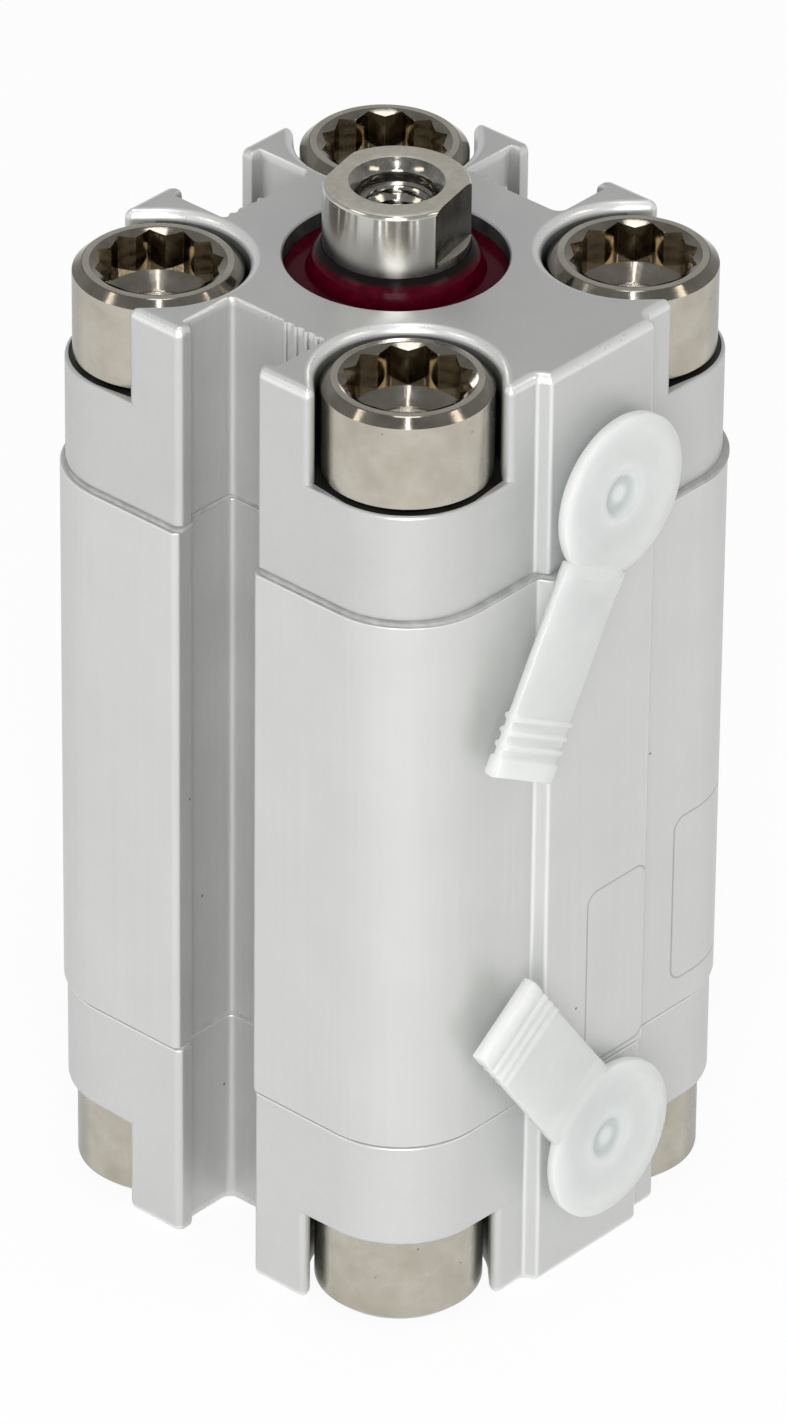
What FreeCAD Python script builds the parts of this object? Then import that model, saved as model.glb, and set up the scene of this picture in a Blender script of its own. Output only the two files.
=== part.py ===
import FreeCAD, Part
import os
import re
import Sketcher

# Compact double-acting pneumatic cylinder with a 16 mm bore and a 20 mm stroke, rod drawn in.
# The origin is the centre of the end cap's rear face, +Z runs along the rod, the ports face -Y.

vector = FreeCAD.Vector
doc = FreeCAD.newDocument("compact_cylinder")
sizes = doc.addObject("Spreadsheet::Sheet", "sizes")

# Driving dimensions in millimetres and degrees.
DRIVING = {
    # travel and bore
    "stroke": 20.0,
    "bore_diameter": 16.0,
    "piston_length": 11.8,
    "end_gap": 0.1,
    # extruded profile shared by the barrel, the gaskets and the caps
    "screw_pitch": 18.0,
    "lobe_radius": 5.36,
    "pad_width": 8.2,
    "pad_height": 0.75,
    "pad_flank": 0.35,
    "slot_mouth": 5.5,
    "slot_width": 6.7,
    "slot_lip": 1.3,
    "slot_wall": 1.35,
    "lip_flare": 0.3,
    "rib_pitch": 0.75,
    "rib_width": 0.3,
    "rib_height": 0.15,
    "rib_margin": 0.35,
    # caps
    "cap_height": 12.2,
    "front_cap_inset": 0.3,
    "rear_cap_inset": 0.2,
    "gasket_thickness": 0.25,
    "gasket_overhang": 0.1,
    "port_distance": 8.4,
    "port_radius": 2.1,
    "port_depth": 5.5,
    "passage_radius": 1.1,
    "passage_wall": 0.1,
    # cap screws
    "head_diameter": 9.3,
    "head_height": 5.6,
    "head_recess": 0.2,
    "head_clearance": 0.3,
    "head_chamfer": 0.6,
    "shank_diameter": 6.0,
    "shank_clearance": 0.2,
    "screw_engagement": 8.0,
    "screw_point": 0.6,
    "socket_radius": 3.55,
    "socket_depth": 2.35,
    "socket_lead": 0.3,
    "thread_core": 1.65,
    "head_thread_depth": 9.0,
    # rod, its bush and its seal
    "rod_diameter": 8.0,
    "rod_projection": 4.5,
    "rod_flats": 7.0,
    "flats_length": 3.25,
    "rod_chamfer": 0.25,
    "rod_mouth": 2.6,
    "rod_mouth_depth": 1.0,
    "rod_thread_depth": 9.0,
    "running_gap": 0.03,
    "bush_wall": 0.95,
    "fit_gap": 0.02,
    "seal_section": 2.1,
    "seal_pocket_depth": 2.8,
    "seal_lip_gap": 0.05,
    # buffers
    "buffer_edge": 0.5,
    "buffer_width": 1.6,
    "buffer_depth": 1.0,
    "buffer_proud": 0.8,
    "buffer_land": 0.7,
    "buffer_gap": 0.05,
    # piston
    "piston_gap": 0.2,
    "groove_depth": 2.2,
    "groove_width": 2.2,
    "groove_edge": 1.0,
    "seal_root_gap": 0.15,
    "seal_side_gap": 0.1,
    "bore_gap": 0.05,
    "magnet_width": 3.4,
    "magnet_wall": 2.25,
    "magnet_gap": 0.05,
    "guide_wall": 0.55,
    "guide_gap": 0.1,
    "guide_split": 0.5,
    "spigot_diameter": 5.0,
    "spigot_gap": 0.1,
    "web_thickness": 1.0,
    "counterbore_depth": 2.6,
    "counterbore_gap": 0.25,
    "clamp_head_diameter": 5.5,
    "clamp_head_height": 2.0,
    "clamp_diameter": 3.0,
    "clamp_reach": 6.0,
    "clamp_clearance": 0.1,
    "clamp_socket": 1.45,
    "clamp_socket_depth": 1.2,
    "clamp_relief": 1.1,
    "ring_section": 0.48,
    "ring_recess": 1.0,
    "ring_gap": 0.12,
    # port plugs
    "plug_radius": 4.7,
    "plug_stand_off": 1.0,
    "plug_rim": 0.4,
    "plug_flange": 0.65,
    "plug_dish": 0.3,
    "plug_recess": 1.25,
    "plug_floor": 1.0,
    "stem_length": 4.6,
    "stem_gap": 0.05,
    "stem_point": 0.5,
    "strap_width": 5.2,
    "strap_thickness": 0.5,
    "strap_lift": 1.1,
    "strap_root": 0.75,
    "grip_width": 0.4,
    "grip_height": 0.2,
    "grip_pitch": 0.8,
    "grip_end": 1.2,
    "front_strap_reach": 16.3,
    "rear_strap_reach": 15.0,
    "front_strap_angle": 241.0,
    "rear_strap_angle": 126.1,
}
for row, (alias, value) in enumerate(DRIVING.items(), start=1):
    sizes.set(f"A{row}", str(value))
    sizes.setAlias(f"A{row}", alias)
doc.recompute()

# Counts of repeated features.
RIBS = 4
GRIPS = 4
SLOTS = 3
CORNERS = 4

# Lengths that follow from the driving dimensions.
CHAMBER = "(stroke + piston_length + 2 * buffer_proud + 2 * end_gap)"
BARREL_LENGTH = f"({CHAMBER} - 2 * gasket_thickness)"
OVERALL = f"({CHAMBER} + 2 * cap_height)"
PISTON_REAR = "(cap_height + buffer_proud + end_gap)"
BORE = "(bore_diameter / 2)"
FLAT = "(screw_pitch / 2 + lobe_radius)"
SLOT_FLOOR = f"({BORE} + slot_wall)"
SLOT_SHOULDER = f"({FLAT} - slot_lip)"
SEAT_DEPTH = "(head_height + head_recess)"
PORT_LEVEL = "(cap_height - port_distance)"
AIR_DEPTH = f"({PORT_LEVEL} + passage_radius + passage_wall)"
BUSH_TOP = "(cap_height - seal_pocket_depth)"
ROD = "(rod_diameter / 2)"
BUSH_OUTER = f"({ROD} + running_gap + bush_wall)"
SEAL_POCKET = f"({ROD} + seal_section)"
BUFFER_OUTER = f"({BORE} - buffer_edge)"
BUFFER_INNER = f"({BUFFER_OUTER} - buffer_width)"
AIR_RADIUS = f"({BUFFER_INNER} - buffer_land)"
PISTON = f"({BORE} - piston_gap)"
GROOVE_ROOT = f"({PISTON} - groove_depth)"
MAGNET_LOW = "((piston_length - magnet_width) / 2)"
MAGNET_HIGH = "((piston_length + magnet_width) / 2)"
GUIDE_OUTER = f"({BORE} - bore_gap)"
GUIDE_INNER = f"({GUIDE_OUTER} - guide_wall)"
MAGNET_OUTER = f"({GUIDE_INNER} - guide_gap)"
MAGNET_INNER = f"({MAGNET_OUTER} - magnet_wall)"
HUB = f"({MAGNET_INNER} - magnet_gap)"
SPIGOT = "(spigot_diameter / 2)"
SPIGOT_END = "(counterbore_depth + web_thickness + spigot_gap)"
CLAMP = "(clamp_diameter / 2)"
CLAMP_TIP = "(counterbore_depth + web_thickness + clamp_reach)"
OVERCUT = "1"


def bound(expression):
    """Point every size's name in an expression at its cell."""
    def cell(match):
        word = match[0]
        return f"sizes.{word}" if word in DRIVING else word

    return re.sub(r"[a-z_]+", cell, expression)


def number(expression):
    """Value of an expression of sizes."""
    return float(sizes.evalExpression(bound(expression)))


def new_body(label):
    body = doc.addObject("PartDesign::Body", label)
    body.Label = label
    return body


def origin_feature(body, role):
    return next(feature for feature in body.Origin.OriginFeatures if feature.Role == role)


def new_sketch(body, role, name, height="0"):
    """Sketch on one of the body's own planes, moved along the plane's normal."""
    sketch = body.newObject("Sketcher::SketchObject", f"{body.Name}_{name}")
    sketch.AttachmentSupport = [(origin_feature(body, role), "")]
    sketch.MapMode = "FlatFace"
    sketch.setExpression("AttachmentOffset.Base.z", bound(height))
    return sketch


def pin_point(sketch, edge, end, x, y):
    """Hold one end of an edge, or a circle's centre, at two bound distances from the origin."""
    for kind, place in (("DistanceX", x), ("DistanceY", y)):
        rule = sketch.addConstraint(Sketcher.Constraint(kind, -1, 1, edge, end, number(place)))
        sketch.setExpression(f"Constraints[{rule}]", bound(place))


def draw_polygon(sketch, corners):
    """Closed outline of straight edges, with each corner bound to the sheet."""
    places = [vector(number(x), number(y), 0) for x, y in corners]
    first = sketch.GeometryCount
    total = len(places)
    for index, place in enumerate(places):
        sketch.addGeometry(Part.LineSegment(place, places[(index + 1) % total]), False)
    for index in range(total):
        following = first + (index + 1) % total
        sketch.addConstraint(Sketcher.Constraint("Coincident", first + index, 2, following, 1))
    for index, (x, y) in enumerate(corners):
        pin_point(sketch, first + index, 1, x, y)


def draw_circle(sketch, x, y, radius):
    place = vector(number(x), number(y), 0)
    edge = sketch.addGeometry(Part.Circle(place, vector(0, 0, 1), number(radius)), False)
    pin_point(sketch, edge, 3, x, y)
    rule = sketch.addConstraint(Sketcher.Constraint("Radius", edge, number(radius)))
    sketch.setExpression(f"Constraints[{rule}]", bound(radius))


def add_pad(body, sketch, name, length):
    pad = body.newObject("PartDesign::Pad", f"{body.Name}_{name}")
    pad.Profile = sketch
    pad.setExpression("Length", bound(length))
    return pad


def add_pocket(body, sketch, name, length=None, forward=False):
    """Cut against the sketch's normal, or along it when forward, and all the way without a length."""
    doc.recompute()
    before = body.Shape.Volume
    pocket = body.newObject("PartDesign::Pocket", f"{body.Name}_{name}")
    pocket.Profile = sketch
    pocket.Reversed = forward
    if length is None:
        pocket.Type = "ThroughAll"
    else:
        pocket.setExpression("Length", bound(length))
    doc.recompute()
    if pocket.Shape.Volume >= before:
        raise RuntimeError(f"{pocket.Name} removed nothing")
    return pocket


def add_polar(body, originals, name, count, angle, backwards=False):
    pattern = body.newObject("PartDesign::PolarPattern", f"{body.Name}_{name}")
    pattern.Originals = originals
    pattern.Axis = (origin_feature(body, "Z_Axis"), [""])
    pattern.Angle = angle
    pattern.Occurrences = count
    pattern.Reversed = backwards
    body.Tip = pattern
    return pattern


def add_groove(body, name, corners):
    """Turned recess: the outline of radius and height pairs is cut round the body's Z axis."""
    sketch = new_sketch(body, "XZ_Plane", f"{name}_sketch")
    draw_polygon(sketch, corners)
    doc.recompute()
    before = body.Shape.Volume
    groove = body.newObject("PartDesign::Groove", f"{body.Name}_{name}")
    groove.Profile = sketch
    groove.ReferenceAxis = (sketch, ["V_Axis"])
    groove.Angle = 360
    doc.recompute()
    if groove.Shape.Volume >= before:
        raise RuntimeError(f"{groove.Name} removed nothing")
    return groove


def turned(label, corners):
    """Body turned from an outline of radius and height pairs."""
    body = new_body(label)
    sketch = new_sketch(body, "XZ_Plane", "outline")
    draw_polygon(sketch, corners)
    revolution = body.newObject("PartDesign::Revolution", f"{label}_turning")
    revolution.Profile = sketch
    revolution.ReferenceAxis = (sketch, ["V_Axis"])
    revolution.Angle = 360
    return body


def hexagon(radius):
    """Corners of a hexagon with a corner on +X."""
    return [(f"{radius} * cos({60 * step})", f"{radius} * sin({60 * step})") for step in range(6)]


def lift(body, height):
    """Stand a body at a height on the cylinder's axis."""
    body.setExpression("Placement.Base.z", bound(height))


def profile_block(label, length, inset, rib_side):
    """Length of the housing's section: four round lobes, a port pad on -Y and three sensor slots.

    The slots open on -X, +Y and +X. Each has a ribbed half floor, on the -Y side of the -X slot
    when rib_side is -1.
    """
    body = new_body(label)
    flat = f"({FLAT} - {inset})"
    square = new_sketch(body, "XY_Plane", "square")
    draw_polygon(square, [(f"-{flat}", f"-{flat}"), (flat, f"-{flat}"), (flat, flat), (f"-{flat}", flat)])
    block = add_pad(body, square, "block", length)
    doc.recompute()
    upright = [f"Edge{place}" for place, edge in enumerate(block.Shape.Edges, start=1)
               if edge.Vertexes[0].Point.isEqual(vector(edge.Vertexes[1].X, edge.Vertexes[1].Y,
                                                        edge.Vertexes[0].Z), 1e-6)]
    lobes = body.newObject("PartDesign::Fillet", f"{label}_lobes")
    lobes.Base = (block, upright)
    lobes.setExpression("Radius", bound(f"lobe_radius - {inset}"))

    pad_sketch = new_sketch(body, "XY_Plane", "pad_sketch")
    pad_root = f"-({flat} - pad_height)"
    pad_top = f"-({flat} + pad_height)"
    pad_half = "(pad_width / 2)"
    draw_polygon(pad_sketch, [
        (f"-({pad_half} + pad_flank)", pad_root), (f"-({pad_half} + pad_flank)", f"-{flat}"),
        (f"-{pad_half}", pad_top), (pad_half, pad_top),
        (f"{pad_half} + pad_flank", f"-{flat}"), (f"{pad_half} + pad_flank", pad_root),
    ])
    add_pad(body, pad_sketch, "port_pad", length)

    mouth = "(slot_mouth / 2)"
    half = "(slot_width / 2)"
    outside = f"-({flat} + lip_flare)"
    floor_line = []
    for rib in range(RIBS):
        outer = f"{rib_side} * ({half} - rib_margin - {rib} * rib_pitch)"
        inner = f"{rib_side} * ({half} - rib_margin - {rib} * rib_pitch - rib_width)"
        floor_line += [(f"-{SLOT_FLOOR}", outer), (f"-({SLOT_FLOOR} + rib_height)", outer),
                       (f"-({SLOT_FLOOR} + rib_height)", inner), (f"-{SLOT_FLOOR}", inner)]
    ribbed = f"{rib_side} * "
    plain = f"{-rib_side} * "
    slot_sketch = new_sketch(body, "XY_Plane", "slot_sketch")
    draw_polygon(slot_sketch, [
        (outside, f"{plain}({mouth} + 2 * lip_flare)"), (outside, f"{ribbed}({mouth} + 2 * lip_flare)"),
        (f"-({flat} - lip_flare)", f"{ribbed}{mouth}"), (f"-{SLOT_SHOULDER}", f"{ribbed}{mouth}"),
        (f"-{SLOT_SHOULDER}", f"{ribbed}{half}"), (f"-{SLOT_FLOOR}", f"{ribbed}{half}"),
        *floor_line,
        (f"-{SLOT_FLOOR}", f"{plain}{half}"), (f"-{SLOT_SHOULDER}", f"{plain}{half}"),
        (f"-{SLOT_SHOULDER}", f"{plain}{mouth}"), (f"-({flat} - lip_flare)", f"{plain}{mouth}"),
    ])
    slot = add_pocket(body, slot_sketch, "slot", forward=True)
    add_polar(body, [slot], "slots", SLOTS, 180, backwards=True)
    return body


def drill_corners(body, name, radius):
    """Through holes on the four screw axes."""
    sketch = new_sketch(body, "XY_Plane", f"{name}_sketch")
    draw_circle(sketch, "screw_pitch / 2", "screw_pitch / 2", radius)
    hole = add_pocket(body, sketch, name, forward=True)
    add_polar(body, [hole], f"{name}s", CORNERS, 360)


def finish_cap(body, inset):
    """Head seats open along the diagonals, screw holes and the air port of a cap.

    The cap's inner face is at height 0 and its outer face at cap_height.
    """
    seat = "(head_diameter / 2 + head_clearance)"
    step = f"({seat} * sqrt(0.5))"
    centre = "(screw_pitch / 2)"
    far = f"({centre} + lobe_radius)"
    seat_sketch = new_sketch(body, "XY_Plane", "seat_sketch", f"cap_height - {SEAT_DEPTH}")
    draw_circle(seat_sketch, centre, centre, seat)
    round_seat = add_pocket(body, seat_sketch, "seat", forward=True)
    mouth_sketch = new_sketch(body, "XY_Plane", "mouth_sketch", f"cap_height - {SEAT_DEPTH}")
    draw_polygon(mouth_sketch, [
        (f"{centre} - {step}", f"{centre} + {step}"), (f"{centre} + {step}", f"{centre} - {step}"),
        (f"{far} + {step}", f"{far} - {step}"), (f"{far} - {step}", f"{far} + {step}"),
    ])
    open_mouth = add_pocket(body, mouth_sketch, "mouth", forward=True)
    add_polar(body, [round_seat, open_mouth], "seats", CORNERS, 360)
    drill_corners(body, "screw_hole", "shank_diameter / 2 + shank_clearance")

    pad_face = f"({FLAT} - {inset} + pad_height)"
    port_sketch = new_sketch(body, "XZ_Plane", "port_sketch", f"{pad_face} - port_depth")
    draw_circle(port_sketch, "0", PORT_LEVEL, "port_radius")
    add_pocket(body, port_sketch, "port", forward=True)
    passage_sketch = new_sketch(body, "XZ_Plane", "passage_sketch", f"{AIR_RADIUS} - passage_radius")
    draw_circle(passage_sketch, "0", PORT_LEVEL, "passage_radius")
    add_pocket(body, passage_sketch, "passage", forward=True)


# Barrel: extruded aluminium with the honed bore and four screw holes.
barrel = profile_block("barrel", BARREL_LENGTH, "0", -1)
bore_sketch = new_sketch(barrel, "XY_Plane", "bore_sketch")
draw_circle(bore_sketch, "0", "0", BORE)
add_pocket(barrel, bore_sketch, "bore", forward=True)
drill_corners(barrel, "screw_hole", "shank_diameter / 2 + fit_gap")
lift(barrel, "cap_height + gasket_thickness")

# Gaskets: thin plates of the housing's section that stand a little proud of the barrel.
for label, height in (("end_cap_gasket", "cap_height"),
                      ("bearing_cap_gasket", f"cap_height + gasket_thickness + {BARREL_LENGTH}")):
    gasket = profile_block(label, "gasket_thickness", "(0 - gasket_overhang)", -1)
    opening_sketch = new_sketch(gasket, "XY_Plane", "opening_sketch")
    draw_circle(opening_sketch, "0", "0", BORE)
    add_pocket(gasket, opening_sketch, "opening", forward=True)
    drill_corners(gasket, "screw_hole", "shank_diameter / 2 + shank_clearance")
    lift(gasket, height)

# Both caps have a buffer recess round a stepped air space in their inner face.
air_space = [
    ("0", f"-{OVERCUT}"), (BUFFER_OUTER, f"-{OVERCUT}"), (BUFFER_OUTER, "buffer_depth"),
    (BUFFER_INNER, "buffer_depth"), (BUFFER_INNER, "0"), (AIR_RADIUS, "0"), (AIR_RADIUS, AIR_DEPTH),
]

# Bearing cap: the air space goes on as the bush's seat and the seal's pocket.
bearing_cap = profile_block("bearing_cap", "cap_height", "front_cap_inset", -1)
add_groove(bearing_cap, "rod_bore", air_space + [
    (f"{BUSH_OUTER} + fit_gap", AIR_DEPTH), (f"{BUSH_OUTER} + fit_gap", BUSH_TOP), (SEAL_POCKET, BUSH_TOP),
    (SEAL_POCKET, f"cap_height + {OVERCUT}"), ("0", f"cap_height + {OVERCUT}"),
])
finish_cap(bearing_cap, "front_cap_inset")
lift(bearing_cap, f"cap_height + {CHAMBER}")

# End cap: closed at the back, and turned over so that its outer face is the rear face.
end_cap = profile_block("end_cap", "cap_height", "rear_cap_inset", 1)
add_groove(end_cap, "air_space", air_space + [("0", AIR_DEPTH)])
finish_cap(end_cap, "rear_cap_inset")
end_cap.Placement = FreeCAD.Placement(vector(0, 0, 0), FreeCAD.Rotation(vector(0, 1, 0), 180))
lift(end_cap, "cap_height")

# Buffers: elastomer rings in the caps' recesses, proud of the inner faces.
for label, height in (("rear_buffer", "cap_height - buffer_depth + buffer_gap"),
                      ("front_buffer", f"cap_height + {CHAMBER} - buffer_proud")):
    thickness = "(buffer_depth - buffer_gap + buffer_proud)"
    buffer_ring = turned(label, [
        (f"{BUFFER_INNER} + buffer_gap", "0"), (f"{BUFFER_OUTER} - buffer_gap", "0"),
        (f"{BUFFER_OUTER} - buffer_gap", thickness), (f"{BUFFER_INNER} + buffer_gap", thickness),
    ])
    lift(buffer_ring, height)

# Rod bush and rod seal, seated in the bearing cap. The seal's lip stands up round the rod.
rod_bush = turned("rod_bush", [
    (f"{ROD} + running_gap", AIR_DEPTH), (BUSH_OUTER, AIR_DEPTH),
    (BUSH_OUTER, BUSH_TOP), (f"{ROD} + running_gap", BUSH_TOP),
])
lift(rod_bush, f"cap_height + {CHAMBER}")
lip = f"({ROD} + seal_lip_gap)"
seal_floor = f"({BUSH_TOP} + fit_gap)"
rod_seal = turned("rod_seal", [
    (f"{lip} + seal_section / 7", seal_floor), (f"{SEAL_POCKET} - fit_gap", seal_floor),
    (f"{SEAL_POCKET} - fit_gap", "cap_height - seal_pocket_depth / 3"),
    (f"{ROD} + seal_section / 2", "cap_height - seal_pocket_depth / 3"),
    (f"{ROD} + seal_section * 0.3", "cap_height - seal_pocket_depth / 14"),
    (f"{ROD} + seal_section * 0.17", "cap_height - seal_pocket_depth / 14"),
    (lip, "cap_height - seal_pocket_depth * 0.3"),
    (f"{lip} + seal_section / 7", "cap_height - seal_pocket_depth * 0.6"),
])
lift(rod_seal, f"cap_height + {CHAMBER}")

# Piston rod: a turned and polished bar with spanner flats, a threaded end and a spigot for the piston.
# Heights are counted from the piston's rear face.
rod_top = "(piston_length + stroke + buffer_proud + end_gap + cap_height + rod_projection)"
thread_foot = f"({rod_top} - rod_thread_depth)"
clamp_hole = f"({CLAMP} + fit_gap)"
clamp_hole_top = f"({CLAMP_TIP} + clamp_relief)"
piston_rod = turned("piston_rod", [
    (clamp_hole, SPIGOT_END), (SPIGOT, SPIGOT_END), (SPIGOT, "piston_length"), (ROD, "piston_length"),
    (ROD, f"{rod_top} - rod_chamfer"), (f"{ROD} - rod_chamfer", rod_top), ("rod_mouth", rod_top),
    ("rod_mouth", f"{rod_top} - rod_mouth_depth"),
    ("thread_core", f"{rod_top} - rod_mouth_depth - (rod_mouth - thread_core)"),
    ("thread_core", thread_foot), ("0", f"{thread_foot} - thread_core"),
    ("0", f"{clamp_hole_top} + {CLAMP}"), (clamp_hole, clamp_hole_top),
])
flats_sketch = new_sketch(piston_rod, "XY_Plane", "flats_sketch", f"{rod_top} - flats_length")
draw_polygon(flats_sketch, [
    ("-rod_diameter", "-rod_diameter"), ("rod_diameter", "-rod_diameter"),
    ("rod_diameter", "-rod_flats / 2"), ("-rod_diameter", "-rod_flats / 2"),
])
flat_cut = add_pocket(piston_rod, flats_sketch, "flat", forward=True)
add_polar(piston_rod, [flat_cut], "flats", 2, 360)
FLATS_TURN = 13.4
piston_rod.Placement = FreeCAD.Placement(vector(0, 0, 0), FreeCAD.Rotation(vector(0, 0, 1), FLATS_TURN))
lift(piston_rod, PISTON_REAR)

# Piston: two halves clamped on the spigot, with a seal groove each and the magnet's seat between them.
spigot_hole = f"({SPIGOT} + fit_gap)"
counterbore = "(clamp_head_diameter / 2 + counterbore_gap)"
clamp_pass = f"({CLAMP} + clamp_clearance)"
web_top = "(counterbore_depth + web_thickness)"
piston_rear_half = turned("piston_rear_half", [
    (counterbore, "0"), (PISTON, "0"), (PISTON, "groove_edge"), (GROOVE_ROOT, "groove_edge"),
    (GROOVE_ROOT, "groove_edge + groove_width"), (PISTON, "groove_edge + groove_width"),
    (PISTON, MAGNET_LOW), (HUB, MAGNET_LOW), (HUB, MAGNET_HIGH), (spigot_hole, MAGNET_HIGH),
    (spigot_hole, web_top), (clamp_pass, web_top), (clamp_pass, "counterbore_depth"),
    (counterbore, "counterbore_depth"),
])
ring_wall = f"({SPIGOT} + 2 * ring_section + 2 * ring_gap)"
front_groove = "(piston_length - groove_edge - groove_width)"
piston_front_half = turned("piston_front_half", [
    (spigot_hole, MAGNET_HIGH), (PISTON, MAGNET_HIGH), (PISTON, front_groove), (GROOVE_ROOT, front_groove),
    (GROOVE_ROOT, "piston_length - groove_edge"), (PISTON, "piston_length - groove_edge"),
    (PISTON, "piston_length"), (ring_wall, "piston_length"), (ring_wall, "piston_length - ring_recess"),
    (spigot_hole, "piston_length - ring_recess"),
])

# Magnet, and the split guide ring that runs round it.
magnet_ring = turned("magnet_ring", [
    (MAGNET_INNER, f"{MAGNET_LOW} + magnet_gap"), (MAGNET_OUTER, f"{MAGNET_LOW} + magnet_gap"),
    (MAGNET_OUTER, f"{MAGNET_HIGH} - magnet_gap"), (MAGNET_INNER, f"{MAGNET_HIGH} - magnet_gap"),
])
guide_ring = turned("guide_ring", [
    (GUIDE_INNER, f"{MAGNET_LOW} + guide_gap"), (GUIDE_OUTER, f"{MAGNET_LOW} + guide_gap"),
    (GUIDE_OUTER, f"{MAGNET_HIGH} - guide_gap"), (GUIDE_INNER, f"{MAGNET_HIGH} - guide_gap"),
])
split_sketch = new_sketch(guide_ring, "XY_Plane", "split_sketch")
draw_polygon(split_sketch, [
    ("0", "-guide_split / 2"), (BORE, "-guide_split / 2"),
    (BORE, "guide_split / 2"), ("0", "guide_split / 2"),
])
add_pocket(guide_ring, split_sketch, "split", forward=True)

# Lip seals: cupped rings in the piston's grooves, each open towards its own chamber.
seal_root = f"({GROOVE_ROOT} + seal_root_gap)"
seal_edge = f"({BORE} - bore_gap)"
seal_width = "(groove_width - 2 * seal_side_gap)"
seal_band = f"({seal_edge} - {seal_root})"
cup = [
    (seal_root, "0"), (f"{seal_edge} - {seal_band} * 0.12", "0"), (seal_edge, f"{seal_width} * 0.9"),
    (f"{seal_edge} - {seal_band} * 0.1", seal_width), (f"{seal_edge} - {seal_band} * 0.28", seal_width),
    (f"{seal_root} + {seal_band} * 0.55", f"{seal_width} * 0.5"),
    (f"{seal_root} + {seal_band} * 0.4", f"{seal_width} * 0.5"),
    (f"{seal_root} + {seal_band} * 0.22", seal_width), (seal_root, seal_width),
]
front_piston_seal = turned("front_piston_seal", cup)
lift(front_piston_seal, f"{PISTON_REAR} + {front_groove} + seal_side_gap")
rear_piston_seal = turned("rear_piston_seal", cup)
rear_piston_seal.Placement = FreeCAD.Placement(vector(0, 0, 0), FreeCAD.Rotation(vector(1, 0, 0), 180))
lift(rear_piston_seal, f"{PISTON_REAR} + groove_edge + groove_width - seal_side_gap")

# Screw that clamps the piston, with a hexagon socket in its head.
piston_screw = turned("piston_screw", [
    ("0", "counterbore_depth - clamp_head_height"),
    ("clamp_head_diameter / 2", "counterbore_depth - clamp_head_height"),
    ("clamp_head_diameter / 2", "counterbore_depth"), (CLAMP, "counterbore_depth"), (CLAMP, CLAMP_TIP),
    ("0", CLAMP_TIP),
])
socket_sketch = new_sketch(piston_screw, "XY_Plane", "socket_sketch",
                           "counterbore_depth - clamp_head_height + clamp_socket_depth")
draw_polygon(socket_sketch, hexagon("clamp_socket"))
add_pocket(piston_screw, socket_sketch, "socket")

# Static ring under the rod's shoulder.
rod_shoulder_ring = new_body("rod_shoulder_ring")
ring_sketch = new_sketch(rod_shoulder_ring, "XZ_Plane", "section")
draw_circle(ring_sketch, f"{SPIGOT} + ring_section + ring_gap", "piston_length - ring_recess / 2",
            "ring_section")
ring_turning = rod_shoulder_ring.newObject("PartDesign::Revolution", "rod_shoulder_ring_turning")
ring_turning.Profile = ring_sketch
ring_turning.ReferenceAxis = (ring_sketch, ["V_Axis"])
ring_turning.Angle = 360

for body in (piston_rear_half, piston_front_half, magnet_ring, guide_ring, piston_screw, rod_shoulder_ring):
    lift(body, PISTON_REAR)

# Cap screw: round head with a twelve-point socket over a female thread, and a shank for the barrel.
# Its underhead face is at height 0.
shank = "(shank_diameter / 2)"
shank_tip = f"(cap_height - {SEAT_DEPTH} + gasket_thickness + screw_engagement)"
socket_inner = "(socket_radius * cos(30) / cos(15))"
head = "(head_diameter / 2)"
cap_screw = turned("cap_screw", [
    ("0", f"-{shank_tip}"), (f"{shank} - screw_point", f"-{shank_tip}"),
    (shank, f"-({shank_tip} - screw_point)"),
    (shank, "0"), (head, "0"), (head, "head_height - head_chamfer"),
    (f"{head} - head_chamfer", "head_height"),
    ("socket_radius + socket_lead / 2", "head_height"),
    (socket_inner, f"head_height - (socket_radius + socket_lead / 2 - {socket_inner})"),
    (socket_inner, "head_height - socket_depth"), ("thread_core", "head_height - socket_depth"),
    ("thread_core", "head_height - head_thread_depth"),
    ("0", "head_height - head_thread_depth - thread_core / 2"),
])
hex_sketch = new_sketch(cap_screw, "XY_Plane", "hex_sketch", "head_height - socket_depth")
draw_polygon(hex_sketch, hexagon("socket_radius"))
hex_cut = add_pocket(cap_screw, hex_sketch, "hexagon", forward=True)
add_polar(cap_screw, [hex_cut], "twelve_points", 2, 30)

# Four screws at each end, those of the end cap turned over.
screw_groups = []
for label, height, turn in (("front_cap_screws", f"{OVERALL} - {SEAT_DEPTH}", 0),
                            ("rear_cap_screws", SEAT_DEPTH, 180)):
    links = []
    for x_side in (-1, 1):
        for y_side in (-1, 1):
            link = doc.addObject("App::Link", f"{label}_screw")
            link.LinkedObject = cap_screw
            link.Placement = FreeCAD.Placement(vector(0, 0, 0), FreeCAD.Rotation(vector(1, 0, 0), turn))
            link.setExpression("Placement.Base.x", bound(f"{x_side} * screw_pitch / 2"))
            link.setExpression("Placement.Base.y", bound(f"{y_side} * screw_pitch / 2"))
            link.setExpression("Placement.Base.z", bound(height))
            links.append(link)
    group = doc.addObject("Part::Compound", label)
    group.Label = label
    group.Links = links
    screw_groups.append(group)

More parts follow.
